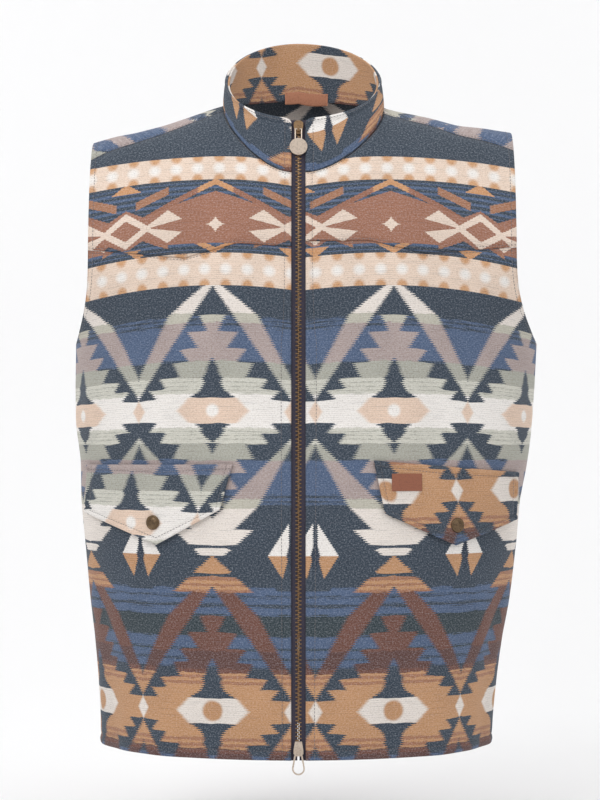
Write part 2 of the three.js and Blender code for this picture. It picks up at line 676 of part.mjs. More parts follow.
// Pocket flaps lie on the fronts and stand a little away from them towards the tip
function flapLift(side, x, z) {
  const { topInner, topOuter } = FLAPS[side];
  const top = lerp(topInner.z, topOuter.z, (x - topInner.x) / (topOuter.x - topInner.x));
  const drop = clamp((top - z) / FLAP_LIFT_DROP, 0, 1);
  const innerEdge = clamp((topInner.x + FLAP_INNER_WIDTH - x) / FLAP_INNER_WIDTH, 0, 1);
  return FLAP_LIFT * drop ** 1.5 + FLAP_INNER_LIFT * drop * innerEdge * innerEdge;
}

function flapFrame(side, x, z, out) {
  const rise = (z - PIT_Z) / (PIT_Z - HEM_Z);
  const frame = bodyFrame(side, FRONT, angleAtX(side, x, rise), rise);
  frame.point.addScaledVector(frame.normal, FLAP_GAP + flapLift(side, x, z) + out);
  return frame;
}

function flap(side) {
  const { topInner, topOuter, cornerInner, cornerOuter, tip } = FLAPS[side];
  const columns = 20;
  const rows = 6;
  const frameAt = (i, j) => {
    const share = i / columns;
    const toTip = share < 0.5;
    const from = toTip ? cornerInner : tip;
    const to = toTip ? tip : cornerOuter;
    const part = toTip ? share * 2 : share * 2 - 1;
    const down = j / rows;
    const x = lerp(lerp(topInner.x, topOuter.x, share), lerp(from.x, to.x, part), down);
    const z = lerp(lerp(topInner.z, topOuter.z, share), lerp(from.z, to.z, part), down);
    return flapFrame(side, x, z, 0);
  };
  return wallGeometry(columns, rows, frameAt, FLAP_CLOTH, 0);
}

function addSnap(side) {
  const { radius, height } = SNAP;
  const profile = [
    new THREE.Vector2(0, 0),
    new THREE.Vector2(radius, 0),
    new THREE.Vector2(radius, height * 0.3),
    new THREE.Vector2(radius * 0.9, height * 0.6),
    new THREE.Vector2(radius * 0.7, height * 0.62),
    new THREE.Vector2(radius * 0.45, height * 0.9),
    new THREE.Vector2(0, height),
  ];
  const mesh = add(`snap_${side}`, new THREE.LatheGeometry(profile, 20), "brass");
  const { x, z } = FLAPS[side].snap;
  const { point, normal } = flapFrame(side, x, z, FLAP_CLOTH + SEAM_GAP + 0.1);
  mesh.position.copy(point);
  mesh.quaternion.setFromUnitVectors(new THREE.Vector3(0, 1, 0), normal);
}

function labelPatch() {
  const columns = 3;
  const rows = 2;
  const frameAt = (i, j) => {
    const x = lerp(PATCH.x0, PATCH.x1, i / columns);
    const z = lerp(PATCH.z0, PATCH.z1, j / rows);
    return flapFrame("left", x, z, FLAP_CLOTH + SEAM_GAP);
  };
  return wallGeometry(columns, rows, frameAt, PATCH.thick, 0);
}

function hangerLoop() {
  const columns = 8;
  const frameAt = (i, j) => {
    const x = lerp(LOOP.x0, LOOP.x1, i / columns);
    const side = x < 0 ? "right" : "left";
    const turn = Math.PI - Math.asin(Math.abs(x) / NECK_HALF_WIDTH[side]);
    const frame = collarFrame(side, turn, lerp(-LOOP.halfHeight, LOOP.halfHeight, j / 2) / COLLAR_HEIGHT);
    frame.point.addScaledVector(frame.normal, -LOOP.bow * Math.sin((Math.PI * i) / columns));
    return frame;
  };
  const near = -(2 * COLLAR_CLOTH + 2 * SEAM_GAP);
  return wallGeometry(columns, 2, frameAt, near, near - LOOP.thick);
}

for (const side of ["right", "left"]) {
  add(`front_${side}`, lowerFront(side), "fleece");
  add(`yoke_${side}`, yoke(side), "fleeceLight");
}
add("back", backPanel(), "fleece");
add("collar_outer", collarLayer(0, -COLLAR_CLOTH), "fleece");
add("collar_inner", collarLayer(-COLLAR_CLOTH - SEAM_GAP, -2 * COLLAR_CLOTH - SEAM_GAP), "fleeceLight");

const zipRows = ZIP_BODY_ROWS + ZIP_COLLAR_ROWS;
const topSliderRow = ZIP_BODY_ROWS + (ZIP_COLLAR_ROWS * TOP_SLIDER_RISE) / ZIP_TOP_SHARE;
const bottomSliderRow = zipRowAt(BOTTOM_SLIDER_Z);
add("zip_tape_right", zipTape("right"), "tape");
add("zip_tape_left", zipTape("left"), "tape");
add("zip_chain", zipChain(bottomSliderRow - 0.05, Math.min(topSliderRow + 0.1, zipRows)), "brass");
addSlider("top", topSliderRow, 1, topPullGeometry(), "brass");
addSlider("bottom", bottomSliderRow, -1, bottomPullGeometry(), "nickel");

for (const side of ["right", "left"]) {
  add(`flap_${side}`, flap(side), side === "right" ? "fleeceLight" : "leather");
  addSnap(side);
}
add("label_patch", labelPatch(), "leather");
add("hanger_loop", hangerLoop(), "leather");

export default vest;
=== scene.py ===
import math
import random

import bpy
import numpy as np
from mathutils import Matrix, Quaternion, Vector


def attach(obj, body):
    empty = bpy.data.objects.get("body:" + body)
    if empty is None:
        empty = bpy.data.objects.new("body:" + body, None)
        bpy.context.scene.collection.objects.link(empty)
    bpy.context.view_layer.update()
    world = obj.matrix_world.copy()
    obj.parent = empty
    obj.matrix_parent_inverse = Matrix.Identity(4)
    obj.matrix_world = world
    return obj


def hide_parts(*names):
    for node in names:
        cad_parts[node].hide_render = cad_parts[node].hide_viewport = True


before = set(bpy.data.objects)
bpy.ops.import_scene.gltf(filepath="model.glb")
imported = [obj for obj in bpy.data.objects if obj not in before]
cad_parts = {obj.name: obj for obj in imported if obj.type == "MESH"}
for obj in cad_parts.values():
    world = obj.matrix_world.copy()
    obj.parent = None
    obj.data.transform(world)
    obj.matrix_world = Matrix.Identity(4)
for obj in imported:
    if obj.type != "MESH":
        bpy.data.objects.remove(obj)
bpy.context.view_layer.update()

# Lengths are millimetres unless a name ends in _m. The row frame is +Z up, the front faces -Y.
MM = 0.001

# Cloth
CLOTH = 2.4
COLLAR_CLOTH = 2.2
FLAP_CLOTH = 3.0
TAPE_CLOTH = 0.9
SEAM_GAP = 0.3
HEM_Z = -681
PIT_Z = -253

# Half width and depth of the body below the armholes: z, right, left, front, back
BODY_SECTIONS = [
    (-253, 240, 257, 124, 120),
    (-335, 240, 252, 126, 118),
    (-378, 235, 247, 128, 117),
    (-421, 234, 239, 131, 117),
    (-464, 230, 235, 134, 120),
    (-529, 224, 227, 138, 127),
    (-572, 219, 219, 140, 132),
    (-637, 214, 211, 143, 140),
    (-681, 213, 208, 145, 145),
]
SECTION_COLUMN = {"right": 1, "left": 2, "front": 3, "back": 4}

# Shoulder ridge: distance from the centre line, height on the right, height on the left
SHOULDER_RIDGE = [
    (0, 24, 24),
    (40, 15, 16),
    (80, 4, 5),
    (105, -4, -2),
    (140, -16, -9),
    (170, -24, -17),
    (200, -30, -20.5),
    (230, -39, -25),
]
BACK_CROWN_RISE = 13
FRONT_ARCH = 0.909
BACK_ARCH = 0.769
CHEST_ANGLE = 27.5
ARMHOLE_SECTION_ANGLE = 45.4
ARMHOLE_SWEEP = 0.58
ARMHOLE_HALF_WIDTH = {"right": 221, "left": 229}
ARMHOLE_FLARE = 3.5
ABOVE_CHEST = 0.6

# Neckline and collar
NECK_CENTRE_Y = -36
NECK_FRONT_REACH = 64
NECK_BACK_REACH = 92
NECK_HALF_WIDTH = {"right": 80, "left": 91}
SHOULDER_SEAM_TIP_Y = -42
RIM_CENTRE_Y = -12.5
RIM_REACH = 72.5
RIM_HALF_WIDTH = {"right": 78, "left": 88}
RIM_FRONT_Z = -18
RIM_BACK_Z = 80
COLLAR_BULGE = 2.5
COLLAR_CORNER = 8
COLLAR_CORNER_BITE = 0.9
COLLAR_TAPE_ROOM = 1.2
COLLAR_HEIGHT = 57

# Western yoke seam, from the zip to the armhole: distance from the centre line, height
YOKE_SEAM = {
    "right": [(0, -155), (65, -151), (119, -166), (230, -155)],
    "left": [(0, -149), (74, -148), (132, -161), (240, -152)],
}
YOKE_SEAM_RISE = 0.0006

# Folds of the filled form: face, side, angle, top, bottom, width, rise
BODY_FOLDS = [
    (-1, "right", 66, -240, -375, 16, 3.5),
    (-1, "left", 64, -240, -372, 18, 4),
    (-1, "right", 40, -500, -760, 24, 3),
    (-1, "left", 44, -520, -760, 22, 3.5),
    (-1, "right", 68, -480, -740, 20, -3),
    (-1, "left", 70, -475, -740, 20, -3),
    (1, "right", 22, -330, -760, 28, -5),
    (1, "left", 26, -300, -760, 30, -5),
    (1, "right", 58, -275, -560, 24, 4),
    (1, "left", 55, -275, -600, 24, 4),
]

# Softer creases of the cloth, on every side: x and z of the middle, half length, half width, slope, rise
CREASES = {
    "front": [
        (-196, -232, 34, 7, 0.9, 1.1),
        (-182, -262, 44, 9, 1.2, -1.2),
        (-205, -300, 40, 8, 1.3, 1.0),
        (208, -236, 36, 8, -0.9, 1.2),
        (190, -268, 46, 9, -1.2, -1.2),
        (214, -310, 40, 8, -1.3, 1.1),
        (-120, -640, 60, 15, 1.5, 1.3),
        (-60, -600, 70, 13, 1.6, -0.9),
        (118, -632, 66, 14, -1.5, 1.3),
        (66, -590, 74, 13, -1.6, -0.9),
        (-45, -330, 60, 12, 1.7, 0.7),
        (48, -352, 64, 12, -1.7, 0.7),
        (-150, -120, 40, 12, -0.3, -0.8),
        (158, -118, 42, 12, 0.3, -0.8),
        (-28, -500, 46, 8, 0.2, 0.7),
        (30, -470, 50, 8, -0.1, 0.8),
    ],
    "back": [
        (-188, -240, 40, 8, 0.9, 1.3),
        (-168, -276, 52, 10, 1.1, -1.3),
        (196, -244, 42, 9, -0.9, 1.3),
        (176, -284, 50, 10, -1.2, -1.3),
        (-60, -130, 70, 18, 0.2, 1.0),
        (74, -150, 66, 16, -0.3, 0.9),
        (-90, -420, 90, 16, 1.5, 1.3),
        (84, -450, 96, 17, -1.5, 1.4),
        (-150, -600, 80, 15, 1.6, -1.2),
        (142, -590, 84, 16, -1.6, -1.2),
        (8, -560, 90, 18, 1.5, 1.1),
    ],
}

# Zip
ZIP_EDGE = 7.4
TAPE_INNER = 3.6
TAPE_OUTER = 16
CHAIN_DEPTH = CLOTH + SEAM_GAP + TAPE_CLOTH / 2
TOP_SLIDER_RISE = 0.82
BOTTOM_SLIDER_Z = -669
ZIP_TOP_SHARE = 0.97

# Pocket flaps, as (distance from the centre line, height)
FLAPS = {
    "right": {
        "top_inner": (67, -379), "top_outer": (222, -381), "corner_inner": (80, -426),
        "tip": (145, -463), "corner_outer": (223, -432), "snap": (148, -440),
    },
    "left": {
        "top_inner": (77, -375), "top_outer": (231, -389), "corner_inner": (88, -430),
        "tip": (161, -464), "corner_outer": (228, -440), "snap": (162, -443),
    },
}
FLAP_GAP = 0.95
FLAP_LIFT = 3
FLAP_LIFT_DROP = 85
FLAP_INNER_LIFT = 1.5
FLAP_INNER_WIDTH = 40
PATCH = {"x0": 95, "x1": 126, "z0": -407, "z1": -389, "thick": 1.1}
LOOP = {"x0": -16, "x1": 34, "half_height": 6, "thick": 1.6, "bow": 2.5}

SIGN = {"right": -1, "left": 1}
FRONT = -1
BACK = 1
RIGHT_ANGLE = math.pi / 2
STEP = 0.002


def clamp(value, low, high):
    return max(low, min(high, value))


def lerp(a, b, t):
    return a + (b - a) * t


def smoothstep(value, low, high):
    t = clamp((value - low) / (high - low), 0, 1)
    return t * t * (3 - 2 * t)


def table_value(rows, column, at):
    """A smooth value between the rows of a table, keyed by its first column and held at its ends."""
    rising = 1 if rows[0][0] < rows[-1][0] else -1
    i = 0
    while i < len(rows) - 2 and rising * at > rising * rows[i + 1][0]:
        i += 1

    def slope(k):
        a = rows[max(k - 1, 0)]
        b = rows[min(k + 1, len(rows) - 1)]
        return (b[column] - a[column]) / (b[0] - a[0])

    span = rows[i + 1][0] - rows[i][0]
    t = clamp((at - rows[i][0]) / span, 0, 1)
    bend = t * (1 - t) * span * ((1 - t) * slope(i) - t * slope(i + 1))
    return lerp(rows[i][column], rows[i + 1][column], t * t * (3 - 2 * t)) + bend


def fold_push(side, face, angle, z, arc_scale):
    push = 0
    for fold_face, fold_side, fold_angle, top, bottom, width, rise in BODY_FOLDS:
        if fold_side == side and fold_face == face:
            off = (angle - math.radians(fold_angle)) * arc_scale / width
            fade = smoothstep(z, bottom, bottom + 70) * (1 - smoothstep(z, top - 60, top))
            push += rise * math.exp(-off * off) * fade
    return push


def armhole_angle(rise):
    u = clamp(rise * 90 / CHEST_ANGLE, 0, 1)
    cut = (1 - (1 - u) ** 2) ** ARMHOLE_SWEEP
    return math.radians(90 - (90 - ARMHOLE_SECTION_ANGLE) * cut)


def section_half_width(side, rise):
    if rise <= 0:
        return table_value(BODY_SECTIONS, SECTION_COLUMN[side], PIT_Z + rise * (PIT_Z - HEM_Z))
    u = clamp(rise * 90 / CHEST_ANGLE, 0, 1)
    armhole = ARMHOLE_HALF_WIDTH[side]
    pit = BODY_SECTIONS[0][SECTION_COLUMN[side]]
    return (armhole + (pit - armhole) * (1 - u) ** ARMHOLE_FLARE) / math.sin(armhole_angle(rise))


def ridge_height(side, x, face):
    ridge = table_value(SHOULDER_RIDGE, SECTION_COLUMN[side], min(x, 230))
    in_neck = clamp(1 - (x / NECK_HALF_WIDTH[side]) ** 2, 0, 1)
    return ridge + (BACK_CROWN_RISE * in_neck * in_neck if face == BACK else 0)


def body_point(side, face, angle, rise):
    """The outer cloth: rise -1 at the hem, 0 at the armhole's foot, 1 on the ridge, more over the front."""
    if rise > 1:
        return body_point(side, FRONT, angle, 2 - rise)
    half_width = section_half_width(side, rise)
    x = half_width * math.sin(angle)
    turn = max(rise, 0) * RIGHT_ANGLE
    arch = FRONT_ARCH if face == FRONT else BACK_ARCH
    low_z = PIT_Z + min(rise, 0) * (PIT_Z - HEM_Z)
    depth = table_value(BODY_SECTIONS, SECTION_COLUMN["front" if face == FRONT else "back"], low_z)
    y = depth * math.cos(angle) * max(math.cos(turn), 0) ** arch
    z = low_z + (ridge_height(side, x, face) - PIT_Z) * math.sin(turn) ** arch
    push = fold_push(side, face, angle, z, (half_width + depth) / 2) if rise < 0 else 0
    return Vector((
        SIGN[side] * (x + push * math.sin(angle)),
        face * (y + push * math.cos(angle)),
        z,
    ))


def body_frame(side, face, angle, rise):
    across = body_point(side, face, angle + STEP, rise) - body_point(side, face, angle - STEP, rise)
    up = body_point(side, face, angle, rise + STEP) - body_point(side, face, angle, rise - STEP)
    normal = (across.cross(up) * (-face * SIGN[side])).normalized()
    return body_point(side, face, angle, rise), normal


def angle_at_x(side, x, rise):
    return math.asin(clamp(x / section_half_width(side, rise), -1, 1))


def rise_at_depth(side, face, x, y):
    angle = angle_at_x(side, x, ABOVE_CHEST)
    depth = BODY_SECTIONS[0][SECTION_COLUMN["front" if face == FRONT else "back"]] * math.cos(angle)
    arch = FRONT_ARCH if face == FRONT else BACK_ARCH
    return math.acos(clamp(abs(y) / depth, 0, 1) ** (1 / arch)) / RIGHT_ANGLE


def neck_depth(side, x, face):
    cos = math.sqrt(max(0, 1 - (x / NECK_HALF_WIDTH[side]) ** 2))
    return NECK_CENTRE_Y + face * (NECK_FRONT_REACH if face == FRONT else NECK_BACK_REACH) * cos


def shoulder_seam_depth(side, x):
    neck = NECK_HALF_WIDTH[side]
    share = (x - neck) / (ARMHOLE_HALF_WIDTH[side] - neck)
    return lerp(NECK_CENTRE_Y, SHOULDER_SEAM_TIP_Y, clamp(share, 0, 1))


def column_share(side, top_x, start):
    first = angle_at_x(side, start, ABOVE_CHEST)
    return (angle_at_x(side, top_x, ABOVE_CHEST) - first) / (armhole_angle(ABOVE_CHEST) - first)


def column_angle(side, share, rise, start):
    first = angle_at_x(side, start, rise)
    last = armhole_angle(rise) if rise > 0 else RIGHT_ANGLE
    seam = 0 if rise > 0 else SEAM_GAP / 2 / BODY_SECTIONS[0][3]
    return lerp(first, last - seam, share)


def yoke_seam_height(side, x):
    rows = YOKE_SEAM[side]
    i = 0
    while i < len(rows) - 2 and x > rows[i + 1][0]:
        i += 1
    return lerp(rows[i][1], rows[i + 1][1], (x - rows[i][0]) / (rows[i + 1][0] - rows[i][0]))


def yoke_rise(side, share):
    """Where a front column crosses the yoke seam, by halving."""
    low, high = 0.02, 0.42
    for _ in range(24):
        middle = (low + high) / 2
        p = body_point(side, FRONT, column_angle(side, share, middle, ZIP_EDGE), middle)
        if p.z < yoke_seam_height(side, abs(p.x)):
            low = middle
        else:
            high = middle
    return low


def back_top(side, x):
    """Where a back column ends: at the neckline or at the forward shoulder seam."""
    in_neck = x <= NECK_HALF_WIDTH[side]
    depth = (neck_depth(side, x, BACK) if in_neck else shoulder_seam_depth(side, x)) + SEAM_GAP / 2
    if depth >= 0:
        return rise_at_depth(side, BACK, x, depth)
    return 2 - rise_at_depth(side, FRONT, x, depth)


def neck_point(side, turn):
    x = NECK_HALF_WIDTH[side] * math.sin(turn)
    cos = math.cos(turn)
    y = NECK_CENTRE_Y - cos * (NECK_FRONT_REACH if cos > 0 else NECK_BACK_REACH)
    face = FRONT if y < 0 else BACK
    rise = rise_at_depth(side, face, x, y)
    return Vector((SIGN[side] * x, y, body_point(side, face, angle_at_x(side, x, rise), rise).z))


def collar_point(side, turn, up):
    """Collar surface: turn from 0 at the front centre to pi at the back, up from 0 to 1."""
    foot = neck_point(side, turn)
    rim = Vector((
        SIGN[side] * RIM_HALF_WIDTH[side] * math.sin(turn),
        RIM_CENTRE_Y - RIM_REACH * math.cos(turn),
        lerp(RIM_FRONT_Z, RIM_BACK_Z, (1 - math.cos(turn)) / 2),
    ))
    bulge = COLLAR_BULGE * math.sin(math.pi * clamp(up, 0, 1)) * math.sin(turn / 2) ** 2
    out = Vector((SIGN[side] * math.sin(turn), -math.cos(turn), 0))
    return foot.lerp(rim, up) + out * bulge if 0 <= up <= 1 else foot + (rim - foot) * up


def collar_frame(side, turn, up):
    t = clamp(turn, 2 * STEP, math.pi - 2 * STEP)
    across = collar_point(side, t + STEP, up) - collar_point(side, t - STEP, up)
    rise = collar_point(side, t, up + 0.02) - collar_point(side, t, up - 0.02)
    normal = (across.cross(rise) * SIGN[side]).normalized()
    if turn > math.pi - 2 * STEP:
        normal.x = 0
        normal.normalize()
    return collar_point(side, turn, up), normal


def collar_top(side, turn):
    in_from_edge = NECK_HALF_WIDTH[side] * math.sin(min(turn, RIGHT_ANGLE)) - ZIP_EDGE
    missing = clamp(1 - in_from_edge / COLLAR_CORNER, 0, 1)
    drop = COLLAR_CORNER * (1 - math.sqrt(1 - COLLAR_CORNER_BITE * missing * missing))
    return 1 - drop / COLLAR_HEIGHT


def zip_neck_rise(side):
    return rise_at_depth(side, FRONT, ZIP_EDGE, neck_depth(side, ZIP_EDGE, FRONT))


# How much of the zip line lies on the body; the rest runs up the collar
ZIP_BODY_SHARE = 20 / 24


def zip_frame(side, x, along):
    """A point of the zip's line, x from the centre, along from 0 at the hem to 1 at the top."""
    if along <= ZIP_BODY_SHARE:
        rise = lerp(-1, zip_neck_rise(side), along / ZIP_BODY_SHARE)
        return body_frame(side, FRONT, angle_at_x(side, x, rise), rise)
    up = (along - ZIP_BODY_SHARE) / (1 - ZIP_BODY_SHARE) * ZIP_TOP_SHARE
    half_width = lerp(NECK_HALF_WIDTH[side], RIM_HALF_WIDTH[side], up)
    return collar_frame(side, math.asin(x / half_width), up)


def zip_centre(along):
    right = zip_frame("right", 0.5, along)
    left = zip_frame("left", 0.5, along)
    point = (right[0] + left[0]) / 2
    point.x = 0
    normal = right[1] + left[1]
    normal.x = 0
    return point, normal.normalized()


def zip_along_at(z):
    rise = (z - PIT_Z) / (PIT_Z - HEM_Z)
    return (rise + 1) / (zip_neck_rise("right") + 1) * ZIP_BODY_SHARE


def flap_lift(side, x, z):
    shape = FLAPS[side]
    inner, outer = shape["top_inner"], shape["top_outer"]
    top = lerp(inner[1], outer[1], (x - inner[0]) / (outer[0] - inner[0]))
    drop = clamp((top - z) / FLAP_LIFT_DROP, 0, 1)
    inner_edge = clamp((inner[0] + FLAP_INNER_WIDTH - x) / FLAP_INNER_WIDTH, 0, 1)
    return FLAP_LIFT * drop ** 1.5 + FLAP_INNER_LIFT * drop * inner_edge * inner_edge


def flap_frame(side, x, z, out):
    rise = (z - PIT_Z) / (PIT_Z - HEM_Z)
    point, normal = body_frame(side, FRONT, angle_at_x(side, x, rise), rise)
    return point + normal * (FLAP_GAP + flap_lift(side, x, z) + out), normal


# Cloth edges: a turned edge is a little thicker up to its row of stitches, a seam sinks in
TURNED = "turned"
SEAM = "seam"
RAW = "raw"
TURN_PUFF = 0.7
STITCH_GROOVE = 1.05
SEAM_SINK = 1.7
FINE_STEP = 5.0


def edge_lines(length, step, start, end):
    """Places along a side of the grid: even steps, with finer lines near the ends. start and end are the
    distances of the stitches, or None where an end has none."""
    def fine(stitch):
        near = [0, 0.35, 1.0, 2.2]
        if stitch:
            near += [stitch / 2, stitch - 1.2, stitch, stitch + 1.2]
        return near

    first = fine(start)
    last = [length - d for d in fine(end)]
    low, high = max(first), min(last)
    count = max(1, round((high - low) / step))
    lines = first + last + [lerp(low, high, k / count) for k in range(count + 1)]
    kept = []
    for line in sorted(lines):
        if not kept or line - kept[-1] > 0.05:
            kept.append(line)
    return kept


def edge_relief(distance, kind, stitch, thickness):
    """(push of the outer face, rounding of both faces) at a distance from an edge."""
    push = 0
    radius = thickness / 2
    inside = clamp(radius - distance, 0, radius)
    rounding = radius - math.sqrt(max(radius * radius - inside * inside, 0))
    if kind == SEAM:
        push -= SEAM_SINK * math.exp(-(distance / 2.4) ** 2)
    if stitch:
        push -= STITCH_GROOVE * math.exp(-((distance - stitch) / 1.1) ** 2)
        if kind == TURNED and distance < stitch:
            push += TURN_PUFF * math.sin(math.pi * distance / stitch)
    return push, rounding


def ripple(*places):
    """A small uneven wave, the same each time the script runs."""
    total = 0
    for k, place in enumerate(places):
        total += math.sin(place * (0.031 + 0.017 * k) + 1.7 * k) * math.sin(place * (0.013 + 0.007 * k) + 0.6)
    return total / len(places)


def crease_push(point):
    """The soft troughs and ridges of the cloth below the seams and armholes."""
    push = 0
    for x0, z0, half_length, half_width, slope, rise in CREASES["front" if point.y < 0 else "back"]:
        length = math.hypot(1, slope)
        dx, dz = point.x - x0, point.z - z0
        along = (dx + dz * slope) / length
        across = (dz - dx * slope) / length
        wander = across + 2.5 * math.sin(along / 17 + x0)
        push += rise * math.exp(-(along / half_length) ** 2 - (wander / half_width) ** 2)
    return push


def cumulative(points, axis):
    steps = np.linalg.norm(np.diff(points, axis=axis), axis=2)
    pad = [(0, 0), (0, 0)]
    pad[axis] = (1, 0)
    return np.cumsum(np.pad(steps, pad), axis=axis)


def mesh_object(name, vertices, faces, material, smooth=True, weave=None):
    """An object from points in millimetres, turned so that its faces point outwards."""
    points = np.array(vertices, float).reshape(-1, 3)
    volume = 0.0
    for face in faces:
        a = points[face[0]]
        for k in range(1, len(face) - 1):
            volume += float(np.dot(a, np.cross(points[face[k]], points[face[k + 1]])))
    if volume < 0:
        faces = [tuple(reversed(face)) for face in faces]
    mesh = bpy.data.meshes.new(name)
    mesh.from_pydata((points * MM).tolist(), [], faces)
    mesh.update()
    for polygon in mesh.polygons:
        polygon.use_smooth = smooth
    if weave is not None:
        layer = mesh.attributes.new("weave", "FLOAT_VECTOR", "POINT")
        layer.data.foreach_set("vector", np.array(weave, np.float32).ravel())
    mesh.materials.append(material)
    obj = bpy.data.objects.new(name, mesh)
    bpy.context.scene.collection.objects.link(obj)
    return obj


def wall_faces(columns, rows):
    layer = columns * rows
    faces = []
    for i in range(columns - 1):
        for j in range(rows - 1):
            a, b = i * rows + j, (i + 1) * rows + j
            faces.append((a, b, b + 1, a + 1))
            faces.append((layer + a, layer + a + 1, layer + b + 1, layer + b))
    for i in range(columns - 1):
        a, b = i * rows, (i + 1) * rows
        faces.append((a, layer + a, layer + b, b))
        a, b = a + rows - 1, b + rows - 1
        faces.append((b, layer + b, layer + a, a))
    for j in range(rows - 1):
        a = j
        faces.append((a + 1, layer + a + 1, layer + a, a))
        b = (columns - 1) * rows + j
        faces.append((b, layer + b, layer + b + 1, b + 1))
    return faces


def cloth_wall(name, grid, thickness, edges, weave_at, material, creases=True, relief=None):
    """A closed thin wall of cloth, and its outer face as a grid. grid holds a (point, normal) for each
    column and row, edges gives (kind, stitch distance) for the first column, last column, first row and
    last row."""
    columns, rows = len(grid), len(grid[0])
    points = np.array([[frame_[0] for frame_ in column] for column in grid], float)
    across, up = cumulative(points, 0), cumulative(points, 1)
    outer, inner, weave, face = [], [], [], []
    for i in range(columns):
        face.append([])
        for j in range(rows):
            point, normal = grid[i][j]
            distances = (
                across[i, j], across[-1, j] - across[i, j], up[i, j], up[i, -1] - up[i, j],
            )
            push = crease_push(point) if creases else 0
            fade = min(1, min(distances) / 14)
            push = push * fade + 0.25 * ripple(point.x * 4, point.z * 4) * fade
            rounding = 0
            both = push
            for distance, (kind, stitch) in zip(distances, edges):
                pushed, rounded = edge_relief(distance, kind, stitch, thickness)
                push += pushed * (1 + 0.3 * ripple(point.x * 9, point.z * 9, point.y * 9))
                rounding = max(rounding, rounded)
            if relief:
                push += relief(point, across[i, j], up[i, j]) * fade
            outer.append(point + normal * (push - rounding))
            inner.append(point + normal * (both - thickness + rounding))
            face[i].append((outer[-1], normal))
            weave.append(weave_at(i, j, point, across[i, j], up[i, j]))
    faces = wall_faces(columns, rows)
    return mesh_object(name, outer + inner, faces, material, weave=weave + weave), face


# Where the stitches lie on the finished grids: (line of points, line of normals)
stitch_lines = []


def add_stitch_line(grid, column=None, row=None, lift=0.3, first=0, last=None):
    """Notes a row of stitches along a column or a row of a cloth's outer face."""
    line = [g[row] for g in grid] if column is None else grid[column]
    line = line[first:last]
    stitch_lines.append([(point + normal * lift, normal) for point, normal in line])


def nearest_line(lines, place):
    return min(range(len(lines)), key=lambda k: abs(lines[k] - place))


# The two lower fronts, the yokes and the back
EDGE_STITCH = 7.0
ARMHOLE_STITCH = 8.5
HEM_STITCH = 9.5
SEAM_STITCH = 3.2
FRONT_WIDTH = 250
BODY_LENGTH = PIT_Z - HEM_Z


def front_columns(side, start, step, first_stitch):
    """Columns as distances across the top, with one at the corner where neckline and shoulder meet."""
    places = edge_lines(FRONT_WIDTH, step, first_stitch, ARMHOLE_STITCH)
    corner = column_share(side, NECK_HALF_WIDTH[side], start) * FRONT_WIDTH
    places[nearest_line(places, corner)] = corner
    return [place / FRONT_WIDTH for place in places]


def top_x_of(side, share, start):
    """The distance from the centre line at the top of the column with this share."""
    first = angle_at_x(side, start, ABOVE_CHEST)
    angle = lerp(first, armhole_angle(ABOVE_CHEST), share)
    return section_half_width(side, ABOVE_CHEST) * math.sin(angle)


# Length up the cloth at the centre front and centre back, by height
def length_table(face):
    rows = []
    total = 0
    before = None
    for k in range(101):
        rise = k / 100
        point = body_point("right", face, 0.05, rise)
        if before is not None:
            total += (point - before).length
        rows.append((point.z, total))
        before = point
    return rows


CENTRE_LENGTHS = {FRONT: length_table(FRONT), BACK: length_table(BACK)}
PATTERN_AXIS_Z = -325


def weave_height(face, z):
    """Height in the blanket pattern at a height on the body. The bands of the pattern lie level."""
    if z <= PIT_Z:
        return z - PATTERN_AXIS_Z
    rows = CENTRE_LENGTHS[face]
    heights = [row[0] for row in rows]
    lengths = [row[1] for row in rows]
    return PIT_Z - PATTERN_AXIS_Z + float(np.interp(z, heights, lengths))


# The fronts are cut with a peak of the pattern in the middle of each, and its bands arch over that peak
PEAK_X = {"right": 86.0, "left": 96.0}
PEAK_RISE = 3.0
YOKE_STRETCH = 0.87


def band_droop(side, x, z):
    """How far the bands lie below their level: most at the zip and at the armholes, more so up the chest."""
    up_chest = smoothstep(z, -150, -60)
    from_peak = x - PEAK_X[side]
    if from_peak < 0:
        droop = lerp(6.5, 11.0, up_chest) * (from_peak / PEAK_X[side]) ** 2
    else:
        droop = lerp(13.0, 10.0, up_chest) * (from_peak / 125) ** 2
    return (droop - PEAK_RISE) * smoothstep(z, -420, -200)


def front_weave(side, in_yoke):
    shift = HALF_REPEAT - PEAK_X[side]

    def weave(i, j, point, across, up):
        x = abs(point.x)
        along = HALF_REPEAT + (x - PEAK_X[side]) * YOKE_STRETCH if in_yoke else across + shift + 4.0
        return along, weave_height(FRONT, point.z) + band_droop(side, x, point.z), 0
    return weave


def lower_front_grid(side, shares):
    body_places = edge_lines(BODY_LENGTH, FINE_STEP, HEM_STITCH, None)
    chest_places = edge_lines(100, FINE_STEP, None, SEAM_STITCH)[4:]
    tops = [yoke_rise(side, share) - YOKE_SEAM_RISE for share in shares]
    grid = []
    for share, top in zip(shares, tops):
        column = []
        for place in body_places:
            rise = place / BODY_LENGTH - 1
            column.append(body_frame(side, FRONT, column_angle(side, share, rise, ZIP_EDGE), rise))
        for place in chest_places:
            rise = top * (place / 100) ** (1 + 0.6 * share * share)
            column.append(body_frame(side, FRONT, column_angle(side, share, rise, ZIP_EDGE), rise))
        grid.append(column)
    return grid, len(body_places)


